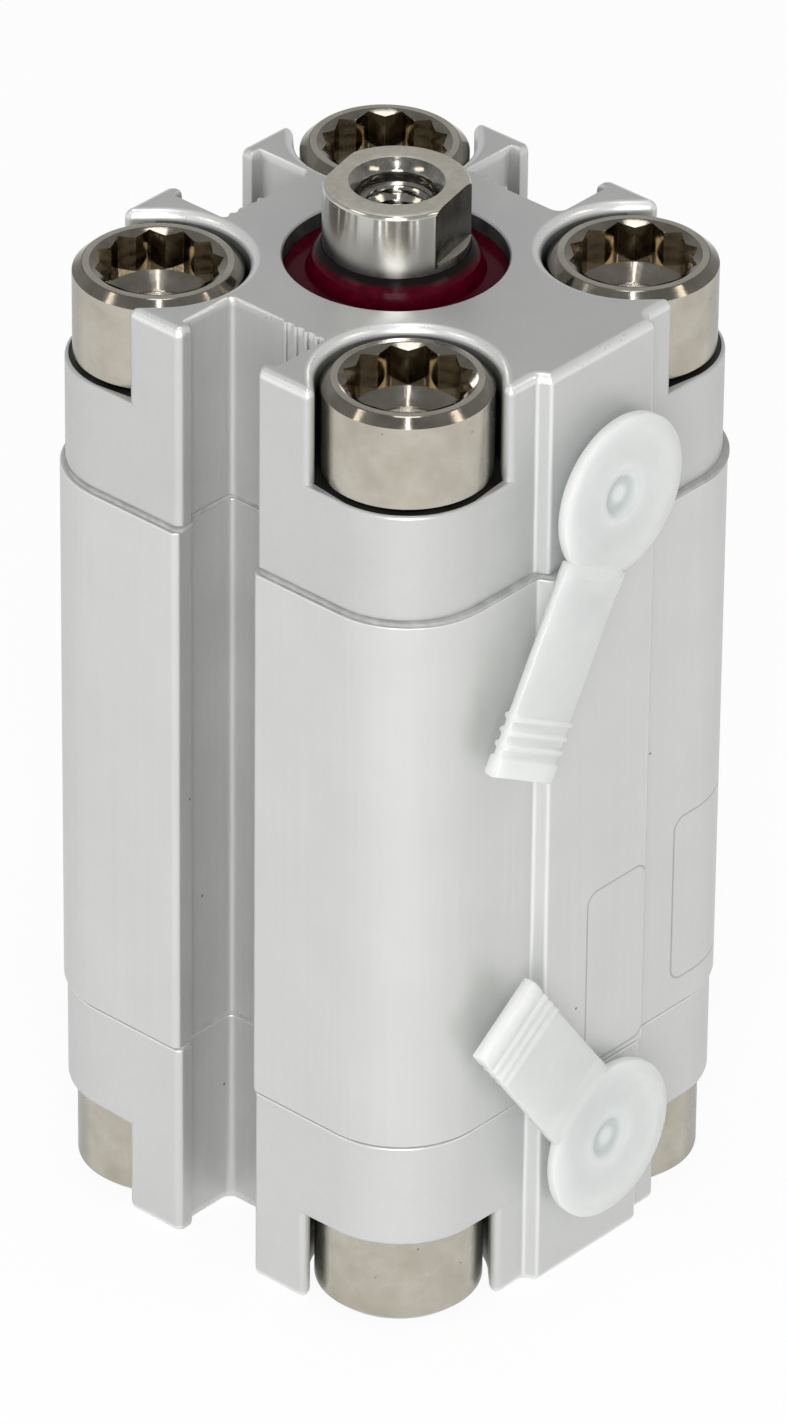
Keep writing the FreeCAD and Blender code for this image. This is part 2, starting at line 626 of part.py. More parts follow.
# Port plugs: soft dished discs with a hollow stem in the port and a pull strap with grip bars.
# Heights are counted from the cap's port pad, outwards.
disc_top = "(plug_stand_off + plug_flange)"
dish_floor = f"({disc_top} - plug_dish)"
stem = "(port_radius - stem_gap)"
plugs = []
for end, level in (("front", f"{OVERALL} - port_distance"), ("rear", "port_distance")):
    reach = f"{end}_strap_reach"
    plug = turned(f"{end}_port_plug", [
        ("0", "-stem_length"), (f"{stem} - stem_point", "-stem_length"),
        (stem, "-(stem_length - 2 * stem_point)"),
        (stem, "plug_stand_off"), ("plug_radius", "plug_stand_off"), ("plug_radius", disc_top),
        ("plug_radius - plug_rim", disc_top), ("plug_radius - 1.5 * plug_rim", dish_floor),
        ("plug_recess", dish_floor), ("plug_recess * 0.8", "-(stem_length - plug_floor)"),
        ("0", "-(stem_length - plug_floor)"),
    ])
    strap_sketch = new_sketch(plug, "XY_Plane", "strap_sketch", "strap_lift")
    strap_start = "plug_radius - strap_root"
    draw_polygon(strap_sketch, [
        (strap_start, "-strap_width / 2"), (reach, "-strap_width / 2"),
        (reach, "strap_width / 2"), (strap_start, "strap_width / 2"),
    ])
    add_pad(plug, strap_sketch, "strap", "strap_thickness")
    grip_sketch = new_sketch(plug, "XY_Plane", "grip_sketch", "strap_lift - grip_height")
    for bar in range(GRIPS):
        inner = f"{reach} - grip_end - {bar} * grip_pitch"
        outer = f"{inner} + grip_width" if bar else reach
        draw_polygon(grip_sketch, [
            (inner, "-strap_width / 2"), (outer, "-strap_width / 2"),
            (outer, "strap_width / 2"), (inner, "strap_width / 2"),
        ])
    add_pad(plug, grip_sketch, "grips", "strap_thickness + 2 * grip_height")
    facing_out = FreeCAD.Rotation(vector(1, 0, 0), 90)
    strap_turn = FreeCAD.Rotation(vector(0, 0, 1), number(f"{end}_strap_angle"))
    plug.Placement = FreeCAD.Placement(vector(0, 0, 0), facing_out.multiply(strap_turn))
    plug.setExpression("Placement.Base.y", bound(f"-({FLAT} - {end}_cap_inset + pad_height)"))
    lift(plug, level)
    plugs.append(plug)

doc.recompute()

nodes = [barrel, bearing_cap, end_cap, rod_bush, rod_seal, piston_rod, piston_rear_half, piston_front_half,
         magnet_ring, guide_ring, front_piston_seal, rear_piston_seal, piston_screw, rod_shoulder_ring]
nodes += [doc.getObject(name) for name in
          ("end_cap_gasket", "bearing_cap_gasket", "rear_buffer", "front_buffer")]
nodes += screw_groups + plugs

for item in doc.Objects:
    if "Invalid" in item.State or "Error" in item.State:
        raise RuntimeError(f"{item.Name} failed: {item.State}")
for node in nodes:
    if node.Shape.isNull() or not node.Shape.isValid():
        raise RuntimeError(f"{node.Label} has no valid shape")

os.makedirs("parts", exist_ok=True)
for node in nodes:
    node.Shape.exportStep(f"parts/{node.Label}.step")
    print(node.Label, len(node.Shape.Solids), round(node.Shape.Volume, 3))
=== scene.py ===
import math

import bmesh
import bpy
from mathutils import Matrix, Vector


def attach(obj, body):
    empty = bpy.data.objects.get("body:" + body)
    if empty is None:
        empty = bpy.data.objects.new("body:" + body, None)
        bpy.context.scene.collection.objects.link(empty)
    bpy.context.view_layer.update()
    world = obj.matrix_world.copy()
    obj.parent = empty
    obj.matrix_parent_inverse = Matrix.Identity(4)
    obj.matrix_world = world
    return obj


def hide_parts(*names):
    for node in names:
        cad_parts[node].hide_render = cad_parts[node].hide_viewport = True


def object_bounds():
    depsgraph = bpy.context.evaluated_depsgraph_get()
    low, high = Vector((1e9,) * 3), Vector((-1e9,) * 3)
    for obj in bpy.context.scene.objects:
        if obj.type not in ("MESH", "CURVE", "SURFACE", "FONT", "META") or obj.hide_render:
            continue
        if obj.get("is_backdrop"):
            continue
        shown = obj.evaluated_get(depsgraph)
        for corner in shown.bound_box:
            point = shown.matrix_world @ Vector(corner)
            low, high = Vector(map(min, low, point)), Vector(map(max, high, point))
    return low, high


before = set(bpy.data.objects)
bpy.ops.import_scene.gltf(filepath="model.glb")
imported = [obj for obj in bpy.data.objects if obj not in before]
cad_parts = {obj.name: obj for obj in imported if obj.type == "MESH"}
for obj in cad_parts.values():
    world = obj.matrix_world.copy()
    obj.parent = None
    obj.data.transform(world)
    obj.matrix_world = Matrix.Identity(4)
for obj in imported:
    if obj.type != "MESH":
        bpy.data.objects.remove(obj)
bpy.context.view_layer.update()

scene = bpy.context.scene


# Barrel: a sawn length of extruded aluminium, honed inside and anodised a satin silver.
# Four round lobes carry the cap screws, three sides have a sensor slot with a ribbed floor,
# and a low flat pad runs along the side of the air ports.

MM = 0.001
SCREW_AXIS = 9.0
SCREW_PLACES = [(x, y) for x in (-SCREW_AXIS, SCREW_AXIS) for y in (-SCREW_AXIS, SCREW_AXIS)]
BARREL_FLAT = 14.36
BARREL_LOBE = 5.36
BARREL_ENDS = (12.45, 45.55)
BARREL_BORE = 8.0
BARREL_SCREW_HOLE = 3.02
PAD_HALF = 4.1
PAD_FLANK = 0.35
PAD_ROUNDING = 0.3
PAD_HEIGHT = 0.75
SLOT_MOUTH = 2.75
SLOT_HALF = 3.35
SLOT_SHOULDER = 13.06
SLOT_FLOOR = 9.35
LIP_FLARE = 0.3
LIP_ROUNDING = 0.3
LIP_EASE = 0.7
SHOULDER_ROUNDING = 0.12
SHOULDER_EASE = 0.3
SLOT_FILLET = 0.5
SLOT_CORNER = 0.2
FLOOR_EASE = 0.2
RIBS = 4
RIB_FIRST = 0.45
RIB_PITCH = 0.75
RIB_WIDTH = 0.3
RIB_HEIGHT = 0.15
RIB_ROUNDING = 0.05
RIB_EASE = 0.1
PAD_FRAME_MIDDLE = (1.7, 18.4)
PAD_FRAME_HALF = (2.4, 5.6)
LOBE_FRAME_MIDDLE = (2.2, 19.5)
LOBE_FRAME_HALF = (3.85, 5.3)
LOBE_FRAME_CLEAR = 1.0
FRAME_ROUNDING = 0.8
FRAME_LINE = (0.03, 0.08)
FRAME_GREY = (0.2, 0.205, 0.2)
FRAME_STRENGTH = 0.55
SEAT_RADIUS = 4.95
HORN_ROUNDING = 0.4
HORN_HALF_TURN = math.radians(67.5)
SAWN_EDGE = 0.1
PAD_HIGHLIGHT_REACH = 0.1
CREASE = 35
WELD = 1e-4
LEVEL = 1e-6
LEAST_TURN = 1e-4
LEAST_RADIUS = 0.01
FACE_NEAR = 0.05


def slot_side(flat):
    """Corners (x, y, radius, ease) of a housing side with a sensor slot, for the side that faces +X.

    The ease is the share of an inset that the stretch after the corner takes.
    """
    lip = [(flat, SLOT_MOUTH + LIP_FLARE, LIP_ROUNDING, 1.0),
           (flat - LIP_FLARE, SLOT_MOUTH, LIP_ROUNDING, LIP_EASE)]
    shoulder = [(SLOT_SHOULDER, y, SHOULDER_ROUNDING, SHOULDER_EASE) for y in (SLOT_MOUTH, SLOT_HALF)]
    near = [(x, -y, radius, ease) for x, y, radius, ease in lip + shoulder]
    floor = [(SLOT_FLOOR, -SLOT_HALF, SLOT_FILLET, FLOOR_EASE)]
    rib_top = SLOT_FLOOR + RIB_HEIGHT
    for rib in range(RIBS):
        inner = RIB_FIRST + rib * RIB_PITCH
        outer = inner + RIB_WIDTH
        corners = ((SLOT_FLOOR, inner), (rib_top, inner), (rib_top, outer), (SLOT_FLOOR, outer))
        floor += [(*corner, RIB_ROUNDING, RIB_EASE) for corner in corners]
    floor.append((SLOT_FLOOR, SLOT_HALF, SLOT_CORNER, SHOULDER_EASE))
    return near + floor + shoulder[::-1] + lip[::-1]


def pad_side(flat):
    """Corners of the housing side with the port pad, for the side that faces +X."""
    half = [(flat + PAD_HEIGHT, PAD_HALF, PAD_ROUNDING, 1.0),
            (flat, PAD_HALF + PAD_FLANK, PAD_ROUNDING, 1.0)]
    return [(x, -y, radius, ease) for x, y, radius, ease in half[::-1]] + half


def housing_corners(flat, lobe, seats=False):
    """Corners of the whole housing section, left whole or with the screw seats cut in from its corners."""
    horn = flat - SEAT_RADIUS * math.sqrt(2)
    seat = SCREW_AXIS - SEAT_RADIUS * math.sqrt(2)
    tangent = horn - HORN_ROUNDING * math.tan(HORN_HALF_TURN)
    if seats:
        corner = [(flat, horn, HORN_ROUNDING, 1.0), (SCREW_AXIS, seat, SEAT_RADIUS, 1.0),
                  (seat, SCREW_AXIS, SEAT_RADIUS, 1.0), (horn, flat, HORN_ROUNDING, 1.0)]
    else:
        corner = [(flat, tangent, 0, 1.0), (flat, flat, lobe, 1.0), (tangent, flat, 0, 1.0)]
    corners = []
    for turn in range(4):
        side = pad_side(flat) if turn == 3 else slot_side(flat)
        cosine, sine = (1, 0, -1, 0)[turn], (0, 1, 0, -1)[turn]
        for x, y, radius, ease in side + corner:
            corners.append((x * cosine - y * sine, x * sine + y * cosine, radius, ease))
    return corners


def outline(corners, inset=0.0, step=0.2):
    """Closed line through the corners, each turned on its radius, with every side moved in by the inset."""
    count = len(corners)
    points = [Vector(corner[:2]) for corner in corners]
    moved, bends = [], []
    for here in range(count):
        into = (points[here] - points[here - 1]).normalized()
        out = (points[(here + 1) % count] - points[here]).normalized()
        inset_in, inset_out = inset * corners[here - 1][3], inset * corners[here][3]
        cross = into.x * out.y - into.y * out.x
        if abs(cross) < LEVEL:
            shift = Vector((-into.y, into.x)) * (inset_in + inset_out) / 2
        else:
            shift = (out * inset_in - into * inset_out) / cross
        moved.append(points[here] + shift)
        bends.append((into, out, cross, (inset_in + inset_out) / 2))
    line = []
    for place, (into, out, cross, change), corner in zip(moved, bends, corners):
        radius = corner[2]
        turn = into.angle(out)
        if radius == 0 or turn < LEAST_TURN:
            line.append(place)
            continue
        sense = math.copysign(1, cross)
        parts = max(2, math.ceil(radius * turn / step))
        radius = max(radius - sense * change, LEAST_RADIUS)
        start = place - into * radius * math.tan(turn / 2)
        centre = start + Vector((-into.y, into.x)) * sense * radius
        arm = start - centre
        for part in range(parts + 1):
            line.append(centre + Matrix.Rotation(sense * turn * part / parts, 2) @ arm)
    return line


def add_ring(mesh, line, height, wear_and_sheen=0.0):
    """Ring of points at one height, with how far its edge is worn bright and carries a painted highlight."""
    layer = mesh.verts.layers.float.get("wear_and_sheen") or mesh.verts.layers.float.new("wear_and_sheen")
    ring = [mesh.verts.new((point[0], point[1], height)) for point in line]
    for point in ring:
        point[layer] = wear_and_sheen
    return ring


def skin(mesh, lower, upper):
    """Wall between two rings of as many points."""
    for here in range(len(lower)):
        mesh.faces.new((lower[here - 1], lower[here], upper[here], upper[here - 1]))


def eased_wall(mesh, corners, ends, eases, parts=4):
    """Upright wall on an outline from one end height to the other, with its end edges rounded."""
    rise = math.copysign(1, ends[1] - ends[0])
    levels = []
    for part in range(parts if eases[0] else 0):
        angle = math.pi / 2 * part / parts
        climb = eases[0] * (1 - math.cos(angle))
        levels.append((eases[0] * (1 - math.sin(angle)), ends[0] + rise * climb, part > 0))
    levels.append((0.0, ends[0] + rise * eases[0], False))
    levels.append((0.0, ends[1] - rise * eases[1], False))
    for part in range(1, parts + 1 if eases[1] else 1):
        angle = math.pi / 2 * part / parts
        climb = eases[1] * (1 - math.sin(angle))
        levels.append((eases[1] * (1 - math.cos(angle)), ends[1] - rise * climb, part < parts))
    # The inner rings of each rounded edge are marked for edge wear and a painted highlight.
    rings = [add_ring(mesh, outline(corners, inset), height, float(wear_and_sheen)) for inset, height, wear_and_sheen in levels]
    for lower, upper in zip(rings, rings[1:]):
        skin(mesh, lower, upper)
    return rings[0], rings[-1]


def lathe(mesh, profile, parts=96, axis=(0.0, 0.0)):
    """Turned wall through points (radius, height) about an upright axis. Returns its first and last ring."""
    rings = []
    for radius, height in profile:
        if radius == 0:
            rings.append(add_ring(mesh, [axis], height))
        else:
            angles = [2 * math.pi * part / parts for part in range(parts)]
            line = [(axis[0] + radius * math.cos(a), axis[1] + radius * math.sin(a)) for a in angles]
            rings.append(add_ring(mesh, line, height))
    for lower, upper in zip(rings, rings[1:]):
        if len(lower) > 1 and len(upper) > 1:
            skin(mesh, lower, upper)
        elif len(lower) + len(upper) > 2:
            tip, ring = (lower[0], upper) if len(lower) == 1 else (upper[0], lower)
            for here in range(len(ring)):
                mesh.faces.new((ring[here - 1], ring[here], tip))
    return rings[0], rings[-1]


def fill_flat(mesh, *rings):
    """Flat face between closed rings: the first is its rim, the others are holes in it."""
    edges = []
    for ring in rings:
        for here in range(len(ring)):
            edge = mesh.edges.get((ring[here - 1], ring[here]))
            edges.append(edge or mesh.edges.new((ring[here - 1], ring[here])))
    bmesh.ops.triangle_fill(mesh, use_beauty=True, edges=edges)


def settle(mesh, name, *finishes, crease=CREASE):
    """The finished mesh as an object in metres, smooth except where its faces meet at a sharp edge."""
    bmesh.ops.remove_doubles(mesh, verts=mesh.verts, dist=WELD)
    bmesh.ops.recalc_face_normals(mesh, faces=mesh.faces)
    bmesh.ops.scale(mesh, vec=(MM, MM, MM), verts=mesh.verts)
    data = bpy.data.meshes.new(name)
    mesh.to_mesh(data)
    mesh.free()
    for finish in finishes:
        data.materials.append(finish)
    data.shade_smooth()
    data.set_sharp_from_angle(angle=math.radians(crease))
    piece = bpy.data.objects.new(name, data)
    scene.collection.objects.link(piece)
    return piece


def even_shading(piece):
    """Lets large flat faces keep their own direction of light beside the small faces of a rounded edge."""
    modifier = piece.modifiers.new("even_shading", "WEIGHTED_NORMAL")
    modifier.keep_sharp = True


def new_finish(name, metallic, roughness):
    """Material, its shader, and object coordinates in millimetres to draw its pattern on."""
    finish = bpy.data.materials.new(name)
    finish.use_nodes = True
    tree = finish.node_tree
    shader = tree.nodes["Principled BSDF"]
    shader.inputs["Metallic"].default_value = metallic
    shader.inputs["Roughness"].default_value = roughness
    where = tree.nodes.new("ShaderNodeTexCoord")
    millimetres = tree.nodes.new("ShaderNodeMapping")
    millimetres.inputs["Scale"].default_value = (1 / MM, 1 / MM, 1 / MM)
    tree.links.new(where.outputs["Object"], millimetres.inputs["Vector"])
    return finish, tree, shader, millimetres.outputs["Vector"]


def stretched(tree, vector, scale):
    """The same coordinates, drawn out along an axis."""
    mapping = tree.nodes.new("ShaderNodeMapping")
    mapping.inputs["Scale"].default_value = scale
    tree.links.new(vector, mapping.inputs["Vector"])
    return mapping.outputs["Vector"]


def grain(tree, vector, per_mm, low=0.3, high=0.7, detail=3.0, roughness=0.55):
    """Cloudy pattern from 0 to 1, with so many clouds to the millimetre."""
    noise = tree.nodes.new("ShaderNodeTexNoise")
    noise.inputs["Scale"].default_value = per_mm
    noise.inputs["Detail"].default_value = detail
    noise.inputs["Roughness"].default_value = roughness
    tree.links.new(vector, noise.inputs["Vector"])
    return between(tree, noise.outputs["Fac"], low, high, 0.0, 1.0)


def between(tree, value, low, high, first, last):
    """Value taken from the range low to high to the range first to last."""
    ranged = tree.nodes.new("ShaderNodeMapRange")
    for name, number in zip(("From Min", "From Max", "To Min", "To Max"), (low, high, first, last)):
        ranged.inputs[name].default_value = number
    tree.links.new(value, ranged.inputs["Value"])
    return ranged.outputs["Result"]


def blend_colour(tree, factor, first, last):
    """Colour between two colours, each given or drawn by another node."""
    mix = tree.nodes.new("ShaderNodeMix")
    mix.data_type = "RGBA"
    tree.links.new(factor, mix.inputs[0])
    for socket, colour in zip((mix.inputs[6], mix.inputs[7]), (first, last)):
        if isinstance(colour, tuple):
            socket.default_value = (*colour, 1.0)
        else:
            tree.links.new(colour, socket)
    return mix.outputs[2]


def worked(tree, operation, first, second):
    """Sum, product or other result of two patterns, or of a pattern and a number."""
    math_node = tree.nodes.new("ShaderNodeMath")
    math_node.operation = operation
    for socket, value in zip(math_node.inputs, (first, second)):
        if isinstance(value, (int, float)):
            socket.default_value = value
        else:
            tree.links.new(value, socket)
    return math_node.outputs["Value"]


def specks(tree, vector, per_mm, size, share):
    """Small scattered dots, 1 inside a dot and 0 elsewhere, in a share of the cells."""
    cells = tree.nodes.new("ShaderNodeTexVoronoi")
    cells.inputs["Scale"].default_value = per_mm
    tree.links.new(vector, cells.inputs["Vector"])
    parts = tree.nodes.new("ShaderNodeSeparateColor")
    tree.links.new(cells.outputs["Color"], parts.inputs["Color"])
    dot = worked(tree, "LESS_THAN", cells.outputs["Distance"], size * per_mm)
    chosen = worked(tree, "LESS_THAN", parts.outputs["Red"], share)
    return worked(tree, "MULTIPLY", dot, chosen)


def emboss(tree, shader, height, strength, depth, under=None):
    """Fine relief of that depth in millimetres on the surface, on top of another relief."""
    bump = tree.nodes.new("ShaderNodeBump")
    bump.inputs["Strength"].default_value = strength
    bump.inputs["Distance"].default_value = depth * MM
    tree.links.new(height, bump.inputs["Height"])
    if under:
        tree.links.new(under, bump.inputs["Normal"])
    tree.links.new(bump.outputs["Normal"], shader.inputs["Normal"])
    return bump.outputs["Normal"]


def edge_wear_and_sheen(tree):
    """How far the surface is worn bright and carries a painted highlight at its edges, from the mesh."""
    attribute = tree.nodes.new("ShaderNodeAttribute")
    attribute.attribute_name = "wear_and_sheen"
    return attribute.outputs["Fac"]


def frame_line(tree, across, along, middle, half):
    """Thin closed line, strong on it and 0 off it: a rectangle with rounded corners on two coordinates."""
    away = []
    for value, centre, reach in zip((across, along), middle, half):
        offset = worked(tree, "ABSOLUTE", worked(tree, "SUBTRACT", value, centre), 0.0)
        away.append(worked(tree, "SUBTRACT", offset, reach - FRAME_ROUNDING))
    past = [worked(tree, "POWER", worked(tree, "MAXIMUM", value, 0.0), 2.0) for value in away]
    outer = worked(tree, "SQRT", worked(tree, "ADD", *past), 0.0)
    inner = worked(tree, "MINIMUM", worked(tree, "MAXIMUM", *away), 0.0)
    off_line = worked(tree, "SUBTRACT", worked(tree, "ADD", outer, inner), FRAME_ROUNDING)
    off_line = worked(tree, "ABSOLUTE", off_line, 0.0)
    return between(tree, off_line, *FRAME_LINE, FRAME_STRENGTH, 0.0)


def printed_frames(tree, x, y, z):
    """Two empty printed frames on the port side: one on the pad, one round the lobe beside it."""
    on_pad = worked(tree, "LESS_THAN", y, -BARREL_FLAT - PAD_HEIGHT + FACE_NEAR)
    pad_frame = frame_line(tree, x, z, PAD_FRAME_MIDDLE, PAD_FRAME_HALF)
    angle = worked(tree, "ARCTAN2", worked(tree, "SUBTRACT", x, SCREW_AXIS),
                   worked(tree, "SUBTRACT", -SCREW_AXIS, y))
    round_lobe = worked(tree, "MULTIPLY", angle, BARREL_LOBE)
    beside_pad = worked(tree, "GREATER_THAN", x, PAD_HALF + PAD_FLANK + LOBE_FRAME_CLEAR)
    on_lobe = worked(tree, "MULTIPLY", beside_pad, worked(tree, "LESS_THAN", y, 0.0))
    lobe_frame = frame_line(tree, round_lobe, z, LOBE_FRAME_MIDDLE, LOBE_FRAME_HALF)
    return worked(tree, "ADD", worked(tree, "MULTIPLY", on_pad, pad_frame),
                  worked(tree, "MULTIPLY", on_lobe, lobe_frame))


def silver_finish(name, dull, bright, edge, drawn, frames=False):
    """Satin anodised aluminium, tumbled or drawn along Z, with edges worn bright and painted with a
    highlight, and a few dark specks.
    """
    finish, tree, shader, vector = new_finish(name, 0.6, 0.42)
    along = stretched(tree, vector, (1.0, 1.0, 0.03 if drawn else 1.0))
    streaks = grain(tree, along, 2.2, 0.3, 0.7, 4.0)
    clouds = grain(tree, vector, 0.2, 0.3, 0.7, 2.0)
    mottled = worked(tree, "ADD", worked(tree, "MULTIPLY", streaks, 0.4),
                     worked(tree, "MULTIPLY", clouds, 0.6))
    dots = specks(tree, vector, 0.6, 0.09, 0.14)
    colour = blend_colour(tree, mottled, dull, bright)
    # The edge colour is partly wear and partly a painted highlight on the rounded edges.
    colour = blend_colour(tree, worked(tree, "MULTIPLY", edge_wear_and_sheen(tree), 0.8), colour, edge)
    colour = blend_colour(tree, worked(tree, "MULTIPLY", dots, 0.75), colour, (0.09, 0.09, 0.085))
    if frames:
        parts = tree.nodes.new("ShaderNodeSeparateXYZ")
        tree.links.new(vector, parts.inputs["Vector"])
        colour = blend_colour(tree, printed_frames(tree, *parts.outputs), colour, FRAME_GREY)
    tree.links.new(colour, shader.inputs["Base Color"])
    satin = between(tree, grain(tree, vector, 7.0, 0.3, 0.7, 2.0), 0.0, 1.0, 0.37, 0.46)
    satin = worked(tree, "SUBTRACT", satin, worked(tree, "MULTIPLY", edge_wear_and_sheen(tree), 0.1))
    tree.links.new(satin, shader.inputs["Roughness"])
    kept = between(tree, edge_wear_and_sheen(tree), 0.0, 0.5, 1.0, 0.0)
    pitted = worked(tree, "MULTIPLY", grain(tree, vector, 4.0, 0.2, 0.8, 2.0), kept)
    first = emboss(tree, shader, pitted, 0.05, 0.008)
    emboss(tree, shader, worked(tree, "MULTIPLY", streaks, kept), 0.05, 0.004, first)
    return finish


def in_slot(place, flat):
    """Whether a point in millimetres lies in one of the three sensor slots of a housing section."""
    sides = ((abs(place.x), abs(place.y)), (place.y, abs(place.x)))
    deepest, lip = SLOT_FLOOR - 2 * FACE_NEAR, flat - LIP_FLARE - FACE_NEAR
    return any(deepest < depth < lip and across < SLOT_HALF + FACE_NEAR for depth, across in sides)


barrel_silver = silver_finish("barrel_silver", (0.558, 0.564, 0.552), (0.59, 0.596, 0.583),
                              (0.82, 0.825, 0.815), drawn=True, frames=True)
# Slot walls and floors get a darker copy of the silver: painted shade inside the slots.
slot_shaded_silver = silver_finish("slot_shaded_silver", (0.48, 0.486, 0.477), (0.535, 0.541, 0.532),
                            (0.6, 0.605, 0.6), drawn=True)


def paint_pad_highlights(mesh, flat):
    """Marks the two edges on each side of the pad with a painted highlight along their whole length."""
    layer = mesh.verts.layers.float["wear_and_sheen"]
    for point in mesh.verts:
        for x, y in ((PAD_HALF, flat + PAD_HEIGHT), (PAD_HALF + PAD_FLANK, flat)):
            if math.hypot(abs(point.co.x) - x, point.co.y + y) < PAD_HIGHLIGHT_REACH:
                point[layer] = 1.0


mesh = bmesh.new()
barrel_low, barrel_high = eased_wall(mesh, housing_corners(BARREL_FLAT, BARREL_LOBE), BARREL_ENDS,
                                     (SAWN_EDGE, SAWN_EDGE), parts=2)
holes = [(BARREL_BORE, (0.0, 0.0))] + [(BARREL_SCREW_HOLE, place) for place in SCREW_PLACES]
walls = [lathe(mesh, [(radius, end) for end in BARREL_ENDS], axis=axis) for radius, axis in holes]
fill_flat(mesh, barrel_low, *[wall[0] for wall in walls])
fill_flat(mesh, barrel_high, *[wall[1] for wall in walls])
paint_pad_highlights(mesh, BARREL_FLAT)
barrel = settle(mesh, "barrel_extrusion", barrel_silver, slot_shaded_silver)
for face in barrel.data.polygons:
    face.material_index = int(in_slot(face.center / MM, BARREL_FLAT))
even_shading(barrel)
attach(barrel, "housing")
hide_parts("barrel")


# Caps: blocks of the same section machined from aluminium bar, tumbled so that every outer edge is
# softly rounded, and anodised. A screw seat opens at each corner, and each has one threaded air port.

FRONT_FACE = 58.0
FRONT_SEAM = 45.8
FRONT_INSET = 0.3
REAR_SEAM = 12.2
REAR_INSET = 0.2
SEAT_DEPTH = 5.8
SEAL_POCKET = 6.1
SEAL_SEAT = 55.2
BUSH_RADIUS = 5.0
AIR_RADIUS = 5.2
FRONT_AIR_FLOOR = 51.2
REAR_AIR_FLOOR = 6.8
BUFFER_RING = (5.9, 7.5)
BUFFER_DEPTH = 1.0
PORT_DISTANCE = 8.4
PORT_RADIUS = 2.1
PORT_DEPTH = 5.5
PORT_PITCH = 0.8
PORT_THREAD = 0.32
PORT_RUN_OUT = 0.4
PORT_MOUTH = 0.42
PORT_STEP = 0.1
PORT_SIDES = 64
PORT_ENTRY = 0.6
PORT_TIP = 1.0
CAP_EDGE = 0.55
CAP_SEAM = 0.12
SEAT_BRIM = 0.2
SCREW_CLEARANCE = 3.2
SEAT_NEAR = 0.02
SEAT_SHADE_DEPTHS = (0.4, 1.9)
POCKET_CHAMFER = ((0.1, 0.0), (0.01, 0.12), (0.0, 0.2))


def thread_reach(radius, height, angle, pitch, depth):
    """Radius of a threaded wall at a height and angle: flanks that rise and fall once a turn."""
    along = (height / pitch - angle / (2 * math.pi)) % 1.0
    return radius + depth * (1 - abs(2 * along - 1))


def cut_away(piece, tool, operation="DIFFERENCE"):
    """Cuts the tool's shape out of a piece, or joins it on, and removes the tool."""
    modifier = piece.modifiers.new("cut", "BOOLEAN")
    modifier.operation = operation
    modifier.solver = "EXACT"
    modifier.object = tool
    bpy.context.view_layer.update()
    evaluated = piece.evaluated_get(bpy.context.evaluated_depsgraph_get())
    data = bpy.data.meshes.new_from_object(evaluated)
    piece.modifiers.remove(modifier)
    old = piece.data
    name = old.name
    piece.data = data
    bpy.data.meshes.remove(old)
    data.name = name
    data.shade_smooth()
    data.set_sharp_from_angle(angle=math.radians(CREASE))
    bpy.data.objects.remove(tool)


def port_tool(name, face, level):
    """Threaded drill shape for an air port that enters the pad face from -Y."""
    tool = bmesh.new()
    steps = round(PORT_DEPTH / PORT_STEP)
    heights = [PORT_ENTRY, 0.0] + [-PORT_STEP * step for step in range(1, steps + 1)]
    angles = [2 * math.pi * part / PORT_SIDES for part in range(PORT_SIDES)]
    rings = []
    for height in heights:
        depth = PORT_THREAD * max(0.0, min(1.0, (height + PORT_DEPTH) / PORT_RUN_OUT))
        line = []
        for angle in angles:
            reach = PORT_RADIUS + PORT_MOUTH
            if height < 0.0:
                reach = thread_reach(PORT_RADIUS, height, angle, PORT_PITCH, depth)
            line.append((reach * math.cos(angle), reach * math.sin(angle)))
        rings.append(add_ring(tool, line, height))
    for lower, upper in zip(rings, rings[1:]):
        skin(tool, lower, upper)
    for ring, height in ((rings[0], heights[0]), (rings[-1], heights[-1] - PORT_TIP)):
        tip = tool.verts.new((0, 0, height))
        for here in range(PORT_SIDES):
            tool.faces.new((ring[here - 1], ring[here], tip))
    place = Matrix.Translation((0, -face, level)) @ Matrix.Rotation(math.radians(90), 4, "X")
    bmesh.ops.transform(tool, verts=tool.verts, matrix=place)
    return settle(tool, name)


def seat_shade_finish(name, outer, rise):
    """The same aluminium in a screw seat, with a painted shade that grows darker the deeper it lies."""
    finish, tree, shader, vector = new_finish(name, 0.6, 0.4)
    oil = grain(tree, vector, 0.8, 0.3, 0.7, 4.0)
    parts = tree.nodes.new("ShaderNodeSeparateXYZ")
    tree.links.new(vector, parts.inputs["Vector"])
    shade_start, shade_end = (outer - rise * depth for depth in SEAT_SHADE_DEPTHS)
    deep = between(tree, parts.outputs["Z"], shade_start, shade_end, 0.0, 1.0)
    lit_seat = blend_colour(tree, oil, (0.25, 0.253, 0.25), (0.33, 0.333, 0.33))
    # The deep colour is the painted shade at the bottom of the seat.
    shaded_seat = blend_colour(tree, oil, (0.012, 0.012, 0.012), (0.03, 0.03, 0.029))
    tree.links.new(blend_colour(tree, deep, lit_seat, shaded_seat), shader.inputs["Base Color"])
    tree.links.new(between(tree, oil, 0.0, 1.0, 0.32, 0.5), shader.inputs["Roughness"])
    emboss(tree, shader, grain(tree, vector, 6.0), 0.1, 0.01)
    return finish


def air_space(seam, floor):
    """Bore profile that both caps have behind their inner face: a stepped air space and a buffer's recess."""
    recess = seam + math.copysign(BUFFER_DEPTH, floor - seam)
    inner, outer = BUFFER_RING
    return [(AIR_RADIUS, floor), (AIR_RADIUS, seam), (inner, seam), (inner, recess), (outer, recess),
            (outer, seam)]


